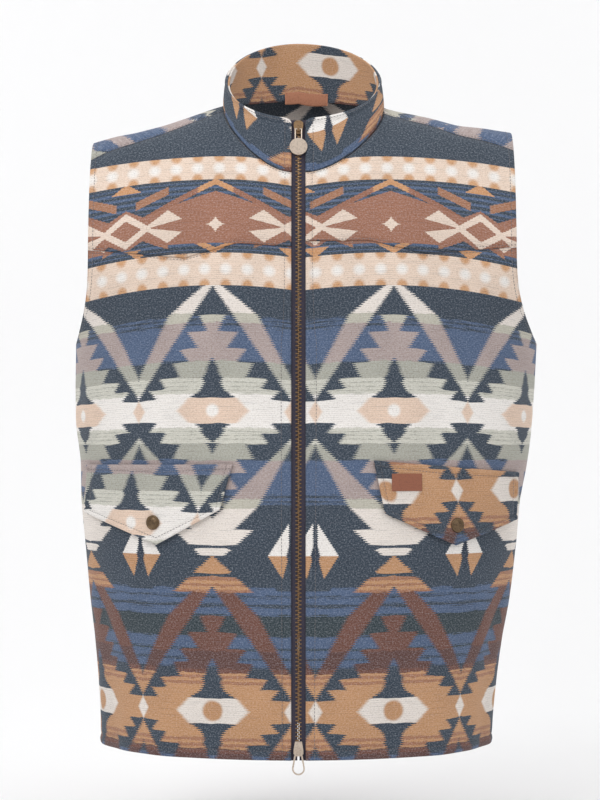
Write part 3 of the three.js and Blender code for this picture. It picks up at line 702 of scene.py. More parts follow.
def yoke_grid(side, shares):
    places = edge_lines(100, 5.5, SEAM_STITCH, SEAM_STITCH)
    grid = []
    for share in shares:
        x = top_x_of(side, share, ZIP_EDGE)
        in_neck = x <= NECK_HALF_WIDTH[side] + 0.01
        depth = neck_depth(side, x, FRONT) if in_neck else shoulder_seam_depth(side, x)
        last = rise_at_depth(side, FRONT, x, depth - SEAM_GAP / 2)
        low = yoke_rise(side, share) + YOKE_SEAM_RISE
        column = []
        for place in places:
            rise = lerp(low, last, place / 100)
            column.append(body_frame(side, FRONT, column_angle(side, share, rise, ZIP_EDGE), rise))
        grid.append(column)
    return grid


def back_half_grid(side, shares):
    body_places = edge_lines(BODY_LENGTH, 5.5, HEM_STITCH, None)
    upper_places = edge_lines(290, 5.5, None, SEAM_STITCH)[4:]
    grid = []
    for share in shares:
        x = min(top_x_of(side, share, 0), ARMHOLE_HALF_WIDTH[side] - 0.01)
        top = back_top(side, x)
        column = []
        for place in body_places:
            rise = place / BODY_LENGTH - 1
            column.append(body_frame(side, BACK, column_angle(side, share, rise, 0), rise))
        for place in upper_places:
            rise = top * (place / 290) ** (1 + 0.5 * share * share)
            over = 2 - rise if rise > 1 else rise
            column.append(body_frame(side, BACK, column_angle(side, share, over, 0), rise))
        grid.append(column)
    return grid, len(body_places)


# Materials. Numbers that vary over the cloth are chains of math nodes, wrapped so that they read as sums.
class Field:
    def __init__(self, tree, socket):
        self.tree = tree
        self.socket = socket

    def math(self, operation, *others):
        node = self.tree.nodes.new("ShaderNodeMath")
        node.operation = operation
        for k, value in enumerate((self, *others)):
            if isinstance(value, Field):
                self.tree.links.new(value.socket, node.inputs[k])
            else:
                node.inputs[k].default_value = value
        return Field(self.tree, node.outputs[0])

    def __add__(self, other):
        return self.math("ADD", other)

    def __sub__(self, other):
        return self.math("SUBTRACT", other)

    def __mul__(self, other):
        return self.math("MULTIPLY", other)

    def __truediv__(self, other):
        return self.math("DIVIDE", other)

    def __neg__(self):
        return self.math("MULTIPLY", -1.0)

    def below(self, other):
        return self.math("LESS_THAN", other)

    def above(self, other):
        return self.math("GREATER_THAN", other)

    def both(self, other):
        return self.math("MULTIPLY", other)

    def either(self, other):
        return self.math("MAXIMUM", other)

    def negated(self):
        return (-self) + 1.0

    def between(self, low, high):
        return self.above(low).both(self.below(high))

    def size(self):
        return self.math("ABSOLUTE")

    def pingpong(self, span):
        return self.math("PINGPONG", span)

    def soft_below(self, edge, width):
        """1 well below the edge, 0 well above it."""
        return ((-self + edge) / width + 0.5).math("MINIMUM", 1.0).math("MAXIMUM", 0.0)

    def curve(self, span, points, height):
        """A broken line through points (place, value), for places from 0 to span and values up to height."""
        node = self.tree.nodes.new("ShaderNodeFloatCurve")
        line = node.mapping.curves[0]
        ends = [(0, points[0][1])] + list(points) + [(span, points[-1][1])]
        kept = []
        for place, value in ends:
            if not kept or place - kept[-1][0] > 0.01:
                kept.append((place, value))
        for k, (place, value) in enumerate(kept):
            x, y = place / span, clamp(value / height, 0, 1)
            if k == 0:
                line.points[0].location = (x, y)
            elif k == len(kept) - 1:
                line.points[len(line.points) - 1].location = (x, y)
            else:
                line.points.new(x, y)
        for point in line.points:
            point.handle_type = "VECTOR"
        node.mapping.update()
        self.tree.links.new((self / span).socket, node.inputs["Value"])
        return Field(self.tree, node.outputs[0]) * height

    def bands(self, span, stops):
        """Colours in steps: stops are (place where the colour starts, colour)."""
        node = self.tree.nodes.new("ShaderNodeValToRGB")
        ramp = node.color_ramp
        ramp.interpolation = "CONSTANT"
        for k, (place, colour) in enumerate(stops):
            element = ramp.elements[k] if k < 2 else ramp.elements.new(place / span)
            element.position = place / span
            element.color = colour
        self.tree.links.new((self / span).socket, node.inputs["Fac"])
        return node.outputs["Color"]


def paint(red, green, blue):
    """A colour as seen on a screen, 0 to 255, made linear."""
    def linear(value):
        share = value / 255
        return share / 12.92 if share <= 0.04045 else ((share + 0.055) / 1.055) ** 2.4
    return linear(red), linear(green), linear(blue), 1.0


def mix(tree, mask, under, over, mode="MIX"):
    """over where mask is 1, under where it is 0. Colours are sockets or plain colours."""
    node = tree.nodes.new("ShaderNodeMix")
    node.data_type = "RGBA"
    node.blend_type = mode
    if isinstance(mask, Field):
        tree.links.new(mask.socket, node.inputs[0])
    else:
        node.inputs[0].default_value = mask
    for k, colour in ((6, under), (7, over)):
        if isinstance(colour, tuple):
            node.inputs[k].default_value = colour
        else:
            tree.links.new(colour, node.inputs[k])
    return node.outputs[2]


def noise(tree, fields, detail=2.0, roughness=0.5):
    """Noise from 0 to 1 at a place given as up to three fields, already scaled."""
    joined = tree.nodes.new("ShaderNodeCombineXYZ")
    for k, field in enumerate(fields):
        if isinstance(field, Field):
            tree.links.new(field.socket, joined.inputs[k])
        else:
            joined.inputs[k].default_value = field
    node = tree.nodes.new("ShaderNodeTexNoise")
    node.inputs["Scale"].default_value = 1.0
    node.inputs["Detail"].default_value = detail
    node.inputs["Roughness"].default_value = roughness
    tree.links.new(joined.outputs[0], node.inputs["Vector"])
    return Field(tree, node.outputs["Fac"])


# Fleece colours
WHITE = paint(238, 233, 228)
CREAM = paint(229, 220, 212)
PEACH = paint(226, 200, 180)
SAGE_BEIGE = paint(190, 186, 172)
MAUVE = paint(172, 156, 152)
SAGE = paint(170, 169, 158)
SAGE_PALE = paint(205, 203, 192)
TAN = paint(190, 144, 104)
TAN_BROWN = paint(163, 116, 88)
BROWN = paint(158, 110, 88)
RUST = paint(112, 74, 62)
RUST_DARK = paint(94, 64, 58)
NAVY = paint(54, 65, 78)
NAVY_GREEN = paint(50, 62, 68)
BLUE = paint(78, 96, 126)
DEEP_NAVY = paint(42, 52, 68)
BAND_CREAM = paint(228, 206, 188)
LATTICE_CREAM = paint(228, 208, 192)
DOT_TAN = paint(204, 156, 114)
TAN_CHEVRON = paint(200, 148, 104)
BROWN_EDGE = paint(150, 102, 80)
FLECK = paint(156, 160, 166)
STREAK = paint(56, 58, 68)

# Blanket pattern, in millimetres: half the width of a repeat and the heights of its two axes and edges
HALF_REPEAT = 82.0
AXIS_SPAN = 307.0
BLOCK_EDGE = -148.0
CHEST_EDGE = 127.7
LOW_DOTS = (127.7, 161.7)
LATTICE = (172.0, 241.0)
LATTICE_AXIS = 192.0
LATTICE_TOP = 49.0
HIGH_DOTS = (241.0, 267.6)
DOT_PITCH = 22.7
NEXT_EDGE = 342.0
NEXT_AXIS = 420.0
PATTERN_FOOT = -466.0
PATTERN_LENGTH = 752.0
W_SPAN = 170.0
Q_SPAN = 100.0

# Edges of the shapes beside the repeat's peak, by distance from an axis
ARM_OUTSIDE = [(0, 100), (36, 82), (97, 48.3), (121, 23.2), (121.6, 43), (137, 25), (137.6, 0), (140.4, 0), (141, 21), (159, 0)]
ARM_INSIDE = [(0, 92), (128, 0), (170, 0)]
STEPS = [
    (0, 95), (11, 95), (11.6, 60.7), (22, 70), (22.6, 50.8), (33.5, 58), (34.1, 35.3), (49, 43),
    (49.6, 25.4), (63, 36), (63.6, 15.5), (80, 27), (80.6, 5.6), (97, 14), (97.6, 0), (170, 0),
]
PINE = [
    (0, 0), (12.6, 0), (13, 26), (16, 20), (20, 14), (24, 11), (29, 9), (33, 11), (38, 7), (44, 6),
    (54, 0), (170, 0),
]
LOW_PINE = [
    (0, 0), (12.6, 0), (13, 20), (18, 12), (21, 13), (26, 9), (31, 2), (31.6, 0), (32.6, 0), (33, 7),
    (37, 4), (44, 0), (170, 0),
]
DAY_LIGHT = [
    (0, WHITE), (17, SAGE_PALE), (20, SAGE), (21, SAGE_PALE), (24, SAGE), (25, SAGE_PALE), (28, SAGE),
    (29, SAGE_PALE), (33, SAGE), (50, MAUVE), (89, SAGE_BEIGE), (99, CREAM),
]
DAY_DARK = [(0, NAVY), (50, BLUE), (86, NAVY), (88.5, BLUE), (91, NAVY), (93, BLUE), (95, NAVY)]
EARTH_LIGHT = [
    (0, TAN), (27, TAN_BROWN), (30, TAN), (33, TAN_BROWN), (36, TAN), (38.5, RUST), (43, RUST_DARK),
    (61, RUST), (121, TAN_BROWN), (124, TAN), (127, TAN_BROWN), (130, TAN), (133, TAN_BROWN), (137, TAN),
]
EARTH_DARK = [
    (0, NAVY), (45, BLUE), (52, NAVY), (54, BLUE), (62, NAVY_GREEN), (64, BLUE), (76, NAVY_GREEN),
    (98, BLUE), (106, NAVY), (109, BLUE), (116, NAVY), (118, BLUE), (125, NAVY),
]


def dotted_band(tree, u, v, low, high):
    """A pale band with tan half dots along both edges and soft white patches between them."""
    height = high - low
    from_middle = (v - (low + height / 2)).size()
    from_edge = -from_middle + height / 2
    beside = u.pingpong(DOT_PITCH / 2)
    half_dot = (beside / 6.4).math("POWER", 2.0) + (from_edge / 7.4).math("POWER", 2.0)
    patch = (beside / 6.0).math("POWER", 2.0) + (from_middle / 5.6).math("POWER", 2.0)
    colour = mix(tree, patch.soft_below(0.9, 1.6), BAND_CREAM, WHITE)
    return mix(tree, half_dot.soft_below(0.75, 0.9), colour, DOT_TAN)


def lattice_band(tree, p, q, v, tooth):
    """Large and small brown diamonds with pale corners, under chevrons and bars."""
    low = v.below(LATTICE[0])
    h = (v - LATTICE_AXIS).size() * low.negated() + ((-v) + (LATTICE_TOP + LOW_DOTS[1])) * low
    rows = (h / 3.1 + tooth * 0.08).pingpong(1.0).above(0.45)
    colour = mix(tree, rows.both(h.between(16.0, 46.0)), NAVY, BLUE)
    chevron = (h + q * 0.56 - 46.5).size().below(3.2)
    bar = (h + q * 0.45 - 58.0).size().below(4.4).both(q.between(43.0, 73.0))
    triangle = h.above(40.0).both((p + (h - 40.0) * 1.3).below(14.0))
    colour = mix(tree, chevron, colour, mix(tree, q.below(16.0), BROWN_EDGE, TAN_CHEVRON))
    colour = mix(tree, bar, colour, TAN_BROWN)
    colour = mix(tree, triangle, colour, TAN_CHEVRON)
    brown = (h + q * 0.36).below(36.0).either((h + p * 0.6).below(22.0))
    colour = mix(tree, brown, colour, BROWN)
    corner = (h + q * 0.22).above(13.6).both((h + q * 0.77).below(51.0)).both((h - q * 0.82).below(-18.0))
    ring = (p / 24.0 + h / 19.0).below(1.0).both((p / 14.5 + h / 11.0).above(1.0))
    star = ((q + 0.1) / 9.0).math("POWER", 0.7) + ((h + 0.1) / 9.0).math("POWER", 0.7)
    return mix(tree, corner.either(ring).either(star.below(1.0)), colour, LATTICE_CREAM)


def medallion(tree, p, v, under):
    """The eye where the two halves of the pattern meet, white above and tan below."""
    h = v - BLOCK_EDGE
    reach = h.size()
    upper = h.above(0.0)
    wedge = (p - reach * 0.28 * upper.negated()).above(2.4).both((p + reach * 0.65).below(24.0))
    ring = (p + reach * 0.65).below(38.0).both(reach.below(36.0))
    eye = (p + reach * 0.25).below(5.0)
    colour = mix(tree, ring, under, NAVY)
    colour = mix(tree, wedge, colour, mix(tree, upper, TAN, WHITE))
    return mix(tree, eye, colour, DEEP_NAVY)


def blanket_pattern(tree, u, v):
    """The colour of the blanket cloth: u across from the valley of the pattern, v up from its upper axis."""
    v = v + v.below(PATTERN_FOOT) * PATTERN_LENGTH
    tooth = (v.pingpong(1.05) - 0.5) * 4.4 + (noise(tree, (u * 0.9, v * 0.9), 1.0) - 0.5) * 6.0
    p = u.pingpong(HALF_REPEAT)
    q = -p + HALF_REPEAT
    ragged = (q + tooth).math("MAXIMUM", 0.05)
    earth = v.below(BLOCK_EDGE)
    wander = (noise(tree, (u * 0.05, v * 0.3), 1.0) - 0.5) * 2.4
    w = (v + earth * AXIS_SPAN).size() + wander
    low_day = v.below(0.0).both(earth.negated())
    inside_edge = w.curve(W_SPAN, ARM_INSIDE, Q_SPAN)
    inside_edge = inside_edge + low_day * ((-w + 110.0) - inside_edge)
    inside = ragged.below(inside_edge)
    arm_top = ((-w + 135.0) * 1.27).math("MAXIMUM", 0.0)
    outside_edge = w.curve(W_SPAN, ARM_OUTSIDE, Q_SPAN)
    outside_edge = outside_edge.math("MINIMUM", arm_top + v.below(0.0) * 200.0)
    outside = ragged.above(outside_edge)
    stepped = ragged.below(w.curve(W_SPAN, STEPS, Q_SPAN))
    pine = ragged.below(w.curve(W_SPAN, PINE, Q_SPAN)).both(low_day.negated())
    pine = pine.either(ragged.below(w.curve(W_SPAN, LOW_PINE, Q_SPAN)).both(low_day))
    light = inside.negated().both(outside.negated()).either(inside.both(stepped)).both(pine.negated())
    dark_w = w + (noise(tree, (u * 0.035, v * 0.8), 3.0, 0.7) - 0.5) * 13.0
    light_w = w + (noise(tree, (u * 0.12, v * 1.1), 2.0) - 0.5) * 5.0
    day = mix(tree, light, dark_w.bands(W_SPAN, DAY_DARK), light_w.bands(W_SPAN, DAY_LIGHT))
    night = mix(tree, light, dark_w.bands(W_SPAN, EARTH_DARK), light_w.bands(W_SPAN, EARTH_LIGHT))
    colour = mix(tree, earth, day, night)

    in_axis = w.below(13.0)
    lozenge = (q + tooth * 0.4 + w).soft_below(38.5, 5.0).both(in_axis)
    heart = (q * q + w * w).math("SQRT").soft_below(earth * 4.0 + 6.5, 3.0)
    small = (p / 7.5 + w / 12.0).soft_below(0.95, 0.4)
    colour = mix(tree, lozenge, colour, mix(tree, earth, PEACH, CREAM))
    colour = mix(tree, heart, colour, mix(tree, earth, WHITE, TAN))
    colour = mix(tree, small, colour, mix(tree, earth, PEACH, CREAM))
    colour = medallion(tree, p + tooth * 0.4, v, colour)

    colour = mix(tree, v.above(LOW_DOTS[0]), colour, dotted_band(tree, u, v, *LOW_DOTS))
    lattice = lattice_band(tree, p + tooth * 0.3, (q - tooth * 0.3).math("MAXIMUM", 0.0), v, tooth)
    colour = mix(tree, v.above(LOW_DOTS[1]), colour, lattice)
    colour = mix(tree, v.above(HIGH_DOTS[0]), colour, dotted_band(tree, u / YOKE_STRETCH, v, *HIGH_DOTS))
    colour = mix(tree, v.above(HIGH_DOTS[1]), colour, NAVY)
    next_w = (v - NEXT_AXIS).size()
    next_light = ragged.below(next_w.curve(W_SPAN, STEPS, Q_SPAN))
    next_block = mix(tree, next_light, next_w.bands(W_SPAN, DAY_DARK), next_w.bands(W_SPAN, DAY_LIGHT))
    return mix(tree, v.above(NEXT_EDGE), colour, next_block)


def new_material(name):
    material = bpy.data.materials.new(name)
    material.use_nodes = True
    tree = material.node_tree
    shader = tree.nodes["Principled BSDF"]
    return material, tree, shader


def weave_fields(tree):
    node = tree.nodes.new("ShaderNodeAttribute")
    node.attribute_name = "weave"
    parts = tree.nodes.new("ShaderNodeSeparateXYZ")
    tree.links.new(node.outputs["Vector"], parts.inputs[0])
    return Field(tree, parts.outputs[0]), Field(tree, parts.outputs[1])


def bump(tree, shader, height, strength, distance_mm):
    node = tree.nodes.new("ShaderNodeBump")
    node.inputs["Strength"].default_value = strength
    node.inputs["Distance"].default_value = distance_mm * MM
    tree.links.new(height.socket, node.inputs["Height"])
    tree.links.new(node.outputs["Normal"], shader.inputs["Normal"])


def fleece_material():
    material, tree, shader = new_material("blanket_fleece")
    u, v = weave_fields(tree)
    colour = blanket_pattern(tree, u, v)
    grain = noise(tree, (u * 0.55, v * 0.62), 4.0, 0.85)
    streak = noise(tree, (u * 0.035, v * 0.85), 2.0, 0.6)
    patchy = noise(tree, (u * 0.02, v * 0.02), 2.0, 0.5)
    flecks = ((grain - 0.48) * 5.0).math("MINIMUM", 1.0).math("MAXIMUM", 0.0)
    colour = mix(tree, flecks * 0.46, colour, FLECK)
    dark_streak = ((-streak + 0.46) * 4.0).math("MINIMUM", 1.0).math("MAXIMUM", 0.0)
    colour = mix(tree, dark_streak * 0.3, colour, STREAK)
    fine = noise(tree, (u * 1.7, v * 1.3), 2.0, 0.7)
    rows = v.pingpong(1.05) - 0.52
    shade = (grain - 0.5) * 1.9 + (fine - 0.5) * 0.7 + (patchy - 0.5) * 0.25 + rows * 0.12 + 1.0
    brightness = tree.nodes.new("ShaderNodeCombineColor")
    for k in range(3):
        tree.links.new(shade.socket, brightness.inputs[k])
    colour = mix(tree, 1.0, colour, brightness.outputs[0], "MULTIPLY")
    tree.links.new(colour, shader.inputs["Base Color"])
    shader.inputs["Roughness"].default_value = 0.95
    shader.inputs["Specular IOR Level"].default_value = 0.15
    shader.inputs["Sheen Weight"].default_value = 0.1
    shader.inputs["Sheen Roughness"].default_value = 0.6
    bump(tree, shader, noise(tree, (u * 0.8, v * 1.0), 3.0, 0.65), 0.6, 1.0)
    return material


def plain_material(name, colour, roughness, metallic=0.0, wear=None, grain=0.0):
    """One colour, with a second one in worn places and a fine grain where they are given."""
    material, tree, shader = new_material(name)
    place = tree.nodes.new("ShaderNodeTexCoord")
    parts = tree.nodes.new("ShaderNodeSeparateXYZ")
    tree.links.new(place.outputs["Object"], parts.inputs[0])
    x, y, z = (Field(tree, parts.outputs[k]) / MM for k in range(3))
    shader.inputs["Base Color"].default_value = colour
    if wear is not None:
        worn = noise(tree, (x * 0.6, y * 0.6, z * 0.6), 3.0, 0.6)
        mask = ((worn - 0.5) * 5.0).math("MINIMUM", 1.0).math("MAXIMUM", 0.0)
        tree.links.new(mix(tree, mask, colour, wear), shader.inputs["Base Color"])
    shader.inputs["Roughness"].default_value = roughness
    shader.inputs["Metallic"].default_value = metallic
    if grain:
        bump(tree, shader, noise(tree, (x * 2.2, y * 2.2, z * 2.2), 2.0, 0.6), grain, 0.3)
    return material


FLEECE = fleece_material()
TAPE = plain_material("zip_tape", paint(52, 48, 62), 0.9, wear=paint(66, 60, 72), grain=0.6)
BRASS = plain_material("antique_brass", paint(150, 122, 92), 0.38, 0.9, wear=paint(96, 74, 56))
SNAP_BRASS = plain_material("snap_brass", paint(112, 92, 70), 0.4, 0.85, wear=paint(70, 58, 48))
NICKEL = plain_material("pale_nickel", paint(206, 190, 174), 0.36, 0.75, wear=paint(176, 160, 146))
LEATHER = plain_material("brown_patch", paint(142, 88, 66), 0.75, wear=paint(128, 78, 60), grain=0.5)
SUEDE = plain_material("tan_tape", paint(172, 118, 92), 0.9, wear=paint(150, 100, 78), grain=0.7)
THREAD = plain_material("thread", paint(112, 108, 110), 0.8)


def keep(obj, node, body="vest"):
    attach(obj, body)
    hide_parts(node)
    return obj


def build_front(side):
    shares = front_columns(side, ZIP_EDGE, FINE_STEP, EDGE_STITCH)
    grid, pit_row = lower_front_grid(side, shares)
    edges = ((TURNED, EDGE_STITCH), (SEAM, None), (TURNED, HEM_STITCH), (SEAM, SEAM_STITCH))
    obj, face = cloth_wall(f"front_{side}_cloth", grid, CLOTH, edges, front_weave(side, False), FLEECE)
    keep(obj, f"front_{side}")
    places = [share * FRONT_WIDTH for share in shares]
    add_stitch_line(face, column=nearest_line(places, EDGE_STITCH))
    add_stitch_line(face, row=nearest_row(grid, HEM_STITCH))
    add_stitch_line(face, column=nearest_line(places, FRONT_WIDTH - ARMHOLE_STITCH), first=pit_row)
    add_stitch_line(face, row=-5)


def nearest_row(grid, distance):
    """The row that lies this far up from the first one, in the middle column."""
    column = grid[len(grid) // 2]
    total, lengths = 0, [0]
    for k in range(1, len(column)):
        total += (column[k][0] - column[k - 1][0]).length
        lengths.append(total)
    return nearest_line(lengths, distance)


def build_yoke(side):
    shares = front_columns(side, ZIP_EDGE, FINE_STEP, EDGE_STITCH)
    grid = yoke_grid(side, shares)
    edges = ((TURNED, EDGE_STITCH), (TURNED, ARMHOLE_STITCH), (SEAM, SEAM_STITCH), (SEAM, SEAM_STITCH))
    obj, face = cloth_wall(f"yoke_{side}_cloth", grid, CLOTH, edges, front_weave(side, True), FLEECE)
    keep(obj, f"yoke_{side}")
    places = [share * FRONT_WIDTH for share in shares]
    add_stitch_line(face, column=nearest_line(places, EDGE_STITCH))
    add_stitch_line(face, column=nearest_line(places, FRONT_WIDTH - ARMHOLE_STITCH))
    add_stitch_line(face, row=nearest_row(grid, SEAM_STITCH))
    add_stitch_line(face, row=-5)


# How far the back is cut from the fronts' place in the pattern, across and up
BACK_SHIFT = (-22.0, -232.0)


def build_back():
    halves = {}
    for side in ("right", "left"):
        halves[side] = back_half_grid(side, front_columns(side, 0, 5.5, None))
    right, pit_row = halves["right"]
    left = halves["left"][0]
    grid = list(reversed(right)) + left[1:]
    middle = len(right) - 1
    widths = np.array([[f[0] for f in column] for column in grid], float)
    across = cumulative(widths, 0)

    def weave(i, j, point, run, up):
        half = BACK if point.y > -30 else FRONT
        return HALF_REPEAT + run - across[middle, j] + BACK_SHIFT[0], weave_height(half, point.z) + BACK_SHIFT[1], 0

    edges = ((TURNED, None), (TURNED, None), (TURNED, HEM_STITCH), (SEAM, SEAM_STITCH))
    obj, face = cloth_wall("back_cloth", grid, CLOTH, edges, weave, FLEECE)
    keep(obj, "back")
    places = [share * FRONT_WIDTH for share in front_columns("right", 0, 5.5, None)]
    inside = nearest_line(places, FRONT_WIDTH - ARMHOLE_STITCH)
    add_stitch_line(face, column=middle - inside, first=pit_row)
    add_stitch_line(face, column=middle + inside, first=pit_row)
    add_stitch_line(face, row=nearest_row(grid, HEM_STITCH))
    add_stitch_line(face, row=-5)


# Stand collar. Its inner layer reaches a little past the neck seam, over the edge of the body cloth
RIM_STITCH = 7.0
INNER_FOOT_OVERLAP = 2.6


def collar_columns(side):
    """Turns from the back centre to the zip edge, finer near the zip."""
    first = math.asin(ZIP_EDGE / NECK_HALF_WIDTH[side])
    turns = [math.pi - k * (math.pi - 0.35) / 44 for k in range(44)]
    near = (0.0, 0.35, 1.0, 2.2, 3.6, 5.8, 7.0, 8.2, 10.0, 13.0, 18.0, 24.0)
    turns += [math.asin((ZIP_EDGE + d) / NECK_HALF_WIDTH[side]) for d in near]
    kept = []
    for turn in sorted(turns, reverse=True):
        if turn >= first - 1e-6 and (not kept or kept[-1] - turn > 0.004):
            kept.append(turn)
    kept[-1] = first
    return kept


def collar_grid(depth, inner):
    rows = edge_lines(COLLAR_HEIGHT, 4.5, SEAM_STITCH, RIM_STITCH)
    grid, sides = [], []
    right = collar_columns("right")
    left = collar_columns("left")
    for side, turns in (("right", list(reversed(right))), ("left", left[1:])):
        for turn in turns:
            column = []
            for row in rows:
                foot = SEAM_GAP / COLLAR_HEIGHT
                if inner and turn > math.pi / 4:
                    foot -= INNER_FOOT_OVERLAP / COLLAR_HEIGHT
                up = lerp(foot, collar_top(side, turn), row / COLLAR_HEIGHT)
                point, normal = collar_frame(side, turn, up)
                if inner and point.y < 0:
                    room = COLLAR_TAPE_ROOM * (1 - smoothstep(abs(point.x), 17, 34))
                    point = point - normal * room
                column.append((point - normal * depth, normal))
            grid.append(column)
            sides.append(side)
    return grid, len(right) - 1


# Where the blanket pattern falls on each collar layer: how far round from the back centre its valley
# is, and the pattern's height at the foot of the collar
COLLAR_INNER_PEAK_X = 37.0
COLLAR_INNER_AXIS_UP = 41.0


def build_collar():
    edges = ((TURNED, EDGE_STITCH), (TURNED, EDGE_STITCH), (SEAM, SEAM_STITCH), (TURNED, RIM_STITCH))
    grid, middle = collar_grid(0, False)
    points = np.array([[f[0] for f in column] for column in grid], float)
    across = cumulative(points, 0)
    ends = {"right": across[0], "left": across[-1]}
    front_eye = {"right": 66.0, "left": 27.0}

    def outer_weave(i, j, point, run, up):
        side = "right" if i < middle else "left"
        from_zip = abs(run - ends[side][j])
        return from_zip - front_eye[side], BLOCK_EDGE - 42.0 + up, 0

    obj, face = cloth_wall("collar_outer_cloth", grid, COLLAR_CLOTH, edges, outer_weave, FLEECE, creases=False)
    keep(obj, "collar_outer")
    columns = len(grid)
    add_stitch_line(face, row=-5)
    add_stitch_line(face, column=6)
    add_stitch_line(face, column=columns - 7)

    inner, middle = collar_grid(COLLAR_CLOTH + SEAM_GAP, True)

    inner_points = np.array([[f[0] for f in column] for column in inner], float)
    inner_across = cumulative(inner_points, 0)

    def inner_weave(i, j, point, run, up):
        from_back = run - inner_across[middle, j]
        return HALF_REPEAT + from_back - COLLAR_INNER_PEAK_X, up - AXIS_SPAN - COLLAR_INNER_AXIS_UP, 0

    edges = ((TURNED, None), (TURNED, None), (SEAM, None), (TURNED, None))
    obj, face = cloth_wall("collar_inner_cloth", inner, COLLAR_CLOTH, edges, inner_weave, FLEECE, creases=False)
    keep(obj, "collar_inner")


# Pocket flaps
FLAP_STITCH = 6.0
FLAP_TOP_STITCH = 6.5
FLAP_WEAVE = {"right": (97.0, -440.5, 0.0), "left": (162.0, -407.0, -AXIS_SPAN)}


def build_flap(side):
    shape = FLAPS[side]
    widths = edge_lines(150, 3.4, FLAP_STITCH, FLAP_STITCH)
    widths[nearest_line(widths, 75)] = 75
    downs = edge_lines(66, 3.4, FLAP_TOP_STITCH, FLAP_STITCH)
    grid = []
    for width in widths:
        share = width / 150
        start, end, part = shape["corner_inner"], shape["tip"], share * 2
        if share >= 0.5:
            start, end, part = shape["tip"], shape["corner_outer"], share * 2 - 1
        column = []
        for down in downs:
            t = down / 66
            x = lerp(lerp(shape["top_inner"][0], shape["top_outer"][0], share), lerp(start[0], end[0], part), t)
            z = lerp(lerp(shape["top_inner"][1], shape["top_outer"][1], share), lerp(start[1], end[1], part), t)
            column.append(flap_frame(side, x, z, FLAP_CLOTH))
        grid.append(column)
    valley_x, axis_z, axis_v = FLAP_WEAVE[side]
    points = np.array([[f[0] for f in column] for column in grid], float)
    across = cumulative(points, 0)
    near = min(range(len(grid)), key=lambda i: abs(abs(grid[i][0][0].x) - valley_x))

    def weave(i, j, point, run, up):
        return run - across[near, j], point.z - axis_z + axis_v, 0

    edges = ((TURNED, FLAP_STITCH), (TURNED, FLAP_STITCH), (TURNED, FLAP_TOP_STITCH), (TURNED, FLAP_STITCH))
    obj, face = cloth_wall(f"flap_{side}_cloth", grid, FLAP_CLOTH, edges, weave, FLEECE, creases=False)
    keep(obj, f"flap_{side}")
    edge = nearest_line(widths, FLAP_STITCH)
    low = nearest_line(downs, 66 - FLAP_STITCH)
    add_stitch_line(face, row=nearest_line(downs, FLAP_TOP_STITCH))
    add_stitch_line(face, row=low, first=edge, last=len(grid) - edge)
    add_stitch_line(face, column=edge, last=low)
    add_stitch_line(face, column=len(grid) - 1 - edge, last=low)


# Stitches: short lengths of thread that lie in the grooves
STITCH_LENGTH = 2.5
STITCH_PITCH = 3.6
THREAD_RADIUS = 0.32


def walk(line, pitch):
    """(point, normal, direction) at even steps along a line of points and normals."""
    places = []
    travelled, due = 0.0, pitch
    for (a, n), (b, m) in zip(line, line[1:]):
        length = (b - a).length
        if length < 1e-6:
            continue
        while travelled + length >= due:
            t = (due - travelled) / length
            places.append((a.lerp(b, t), n.lerp(m, t).normalized(), (b - a) / length))
            due += pitch
        travelled += length
    return places


def stitch_mesh(name, lines, material, depth=0.3):
    vertices, faces = [], []
    for line in lines:
        for point, normal, along in walk(line, STITCH_PITCH):
            side = normal.cross(along).normalized()
            base = point - normal * depth
            start = len(vertices)
            for share, size in ((-0.5, 0.35), (-0.3, 1.0), (0.3, 1.0), (0.5, 0.35)):
                centre = base + along * (STITCH_LENGTH * share)
                for k in range(5):
                    turn = 2 * math.pi * k / 5
                    offset = side * math.cos(turn) + normal * math.sin(turn)
                    vertices.append(centre + offset * (THREAD_RADIUS * size))
            for ring in range(3):
                for k in range(5):
                    a = start + ring * 5 + k
                    b = start + ring * 5 + (k + 1) % 5
                    faces.append((a, b, b + 5, a + 5))
            faces.append(tuple(start + k for k in (4, 3, 2, 1, 0)))
            faces.append(tuple(start + 15 + k for k in range(5)))
    obj = mesh_object(name, vertices, faces, material)
    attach(obj, "vest")
    return obj


# Zip
TOOTH_PITCH = 4.0
TOOTH_HALF_HEIGHT = 0.85
TOOTH_HALF_DEPTH = 1.2
TOOTH_ROOT = 3.15
TOOTH_TIP = 0.75
TAPE_CORD_EDGE = 1.1
ZIP_TOP_SLIDER = ZIP_BODY_SHARE + (1 - ZIP_BODY_SHARE) * TOP_SLIDER_RISE / ZIP_TOP_SHARE
ZIP_BOTTOM_SLIDER = zip_along_at(BOTTOM_SLIDER_Z)


def build_tape(side):
    """The woven tape, whose edge reaches in under the teeth that are clamped onto it."""
    xs = (TAPE_CORD_EDGE, 1.4, 2.5, TAPE_INNER, 5.0, 6.2, 7.4, 10.0, 13.0, 15.7, TAPE_OUTER)
    alongs = [k / 160 for k in range(161)]
    grid = []
    for x in xs:
        column = []
        for along in alongs:
            point, normal = zip_frame(side, x, along)
            column.append((point - normal * (CLOTH + SEAM_GAP), normal))
        grid.append(column)
    edges = ((RAW, None),) * 4

    def weave(i, j, point, run, up):
        return run, up, 0

    obj, face = cloth_wall(f"zip_tape_{side}_cloth", grid, TAPE_CLOTH, edges, weave, TAPE, creases=False)
    keep(obj, f"zip_tape_{side}")


def zip_line(first, last):
    """Points, normals and directions along the middle of the chain."""
    line = []
    for k in range(241):
        along = lerp(first, last, k / 240)
        point, normal = zip_centre(along)
        line.append((point - normal * CHAIN_DEPTH, normal))
    return line


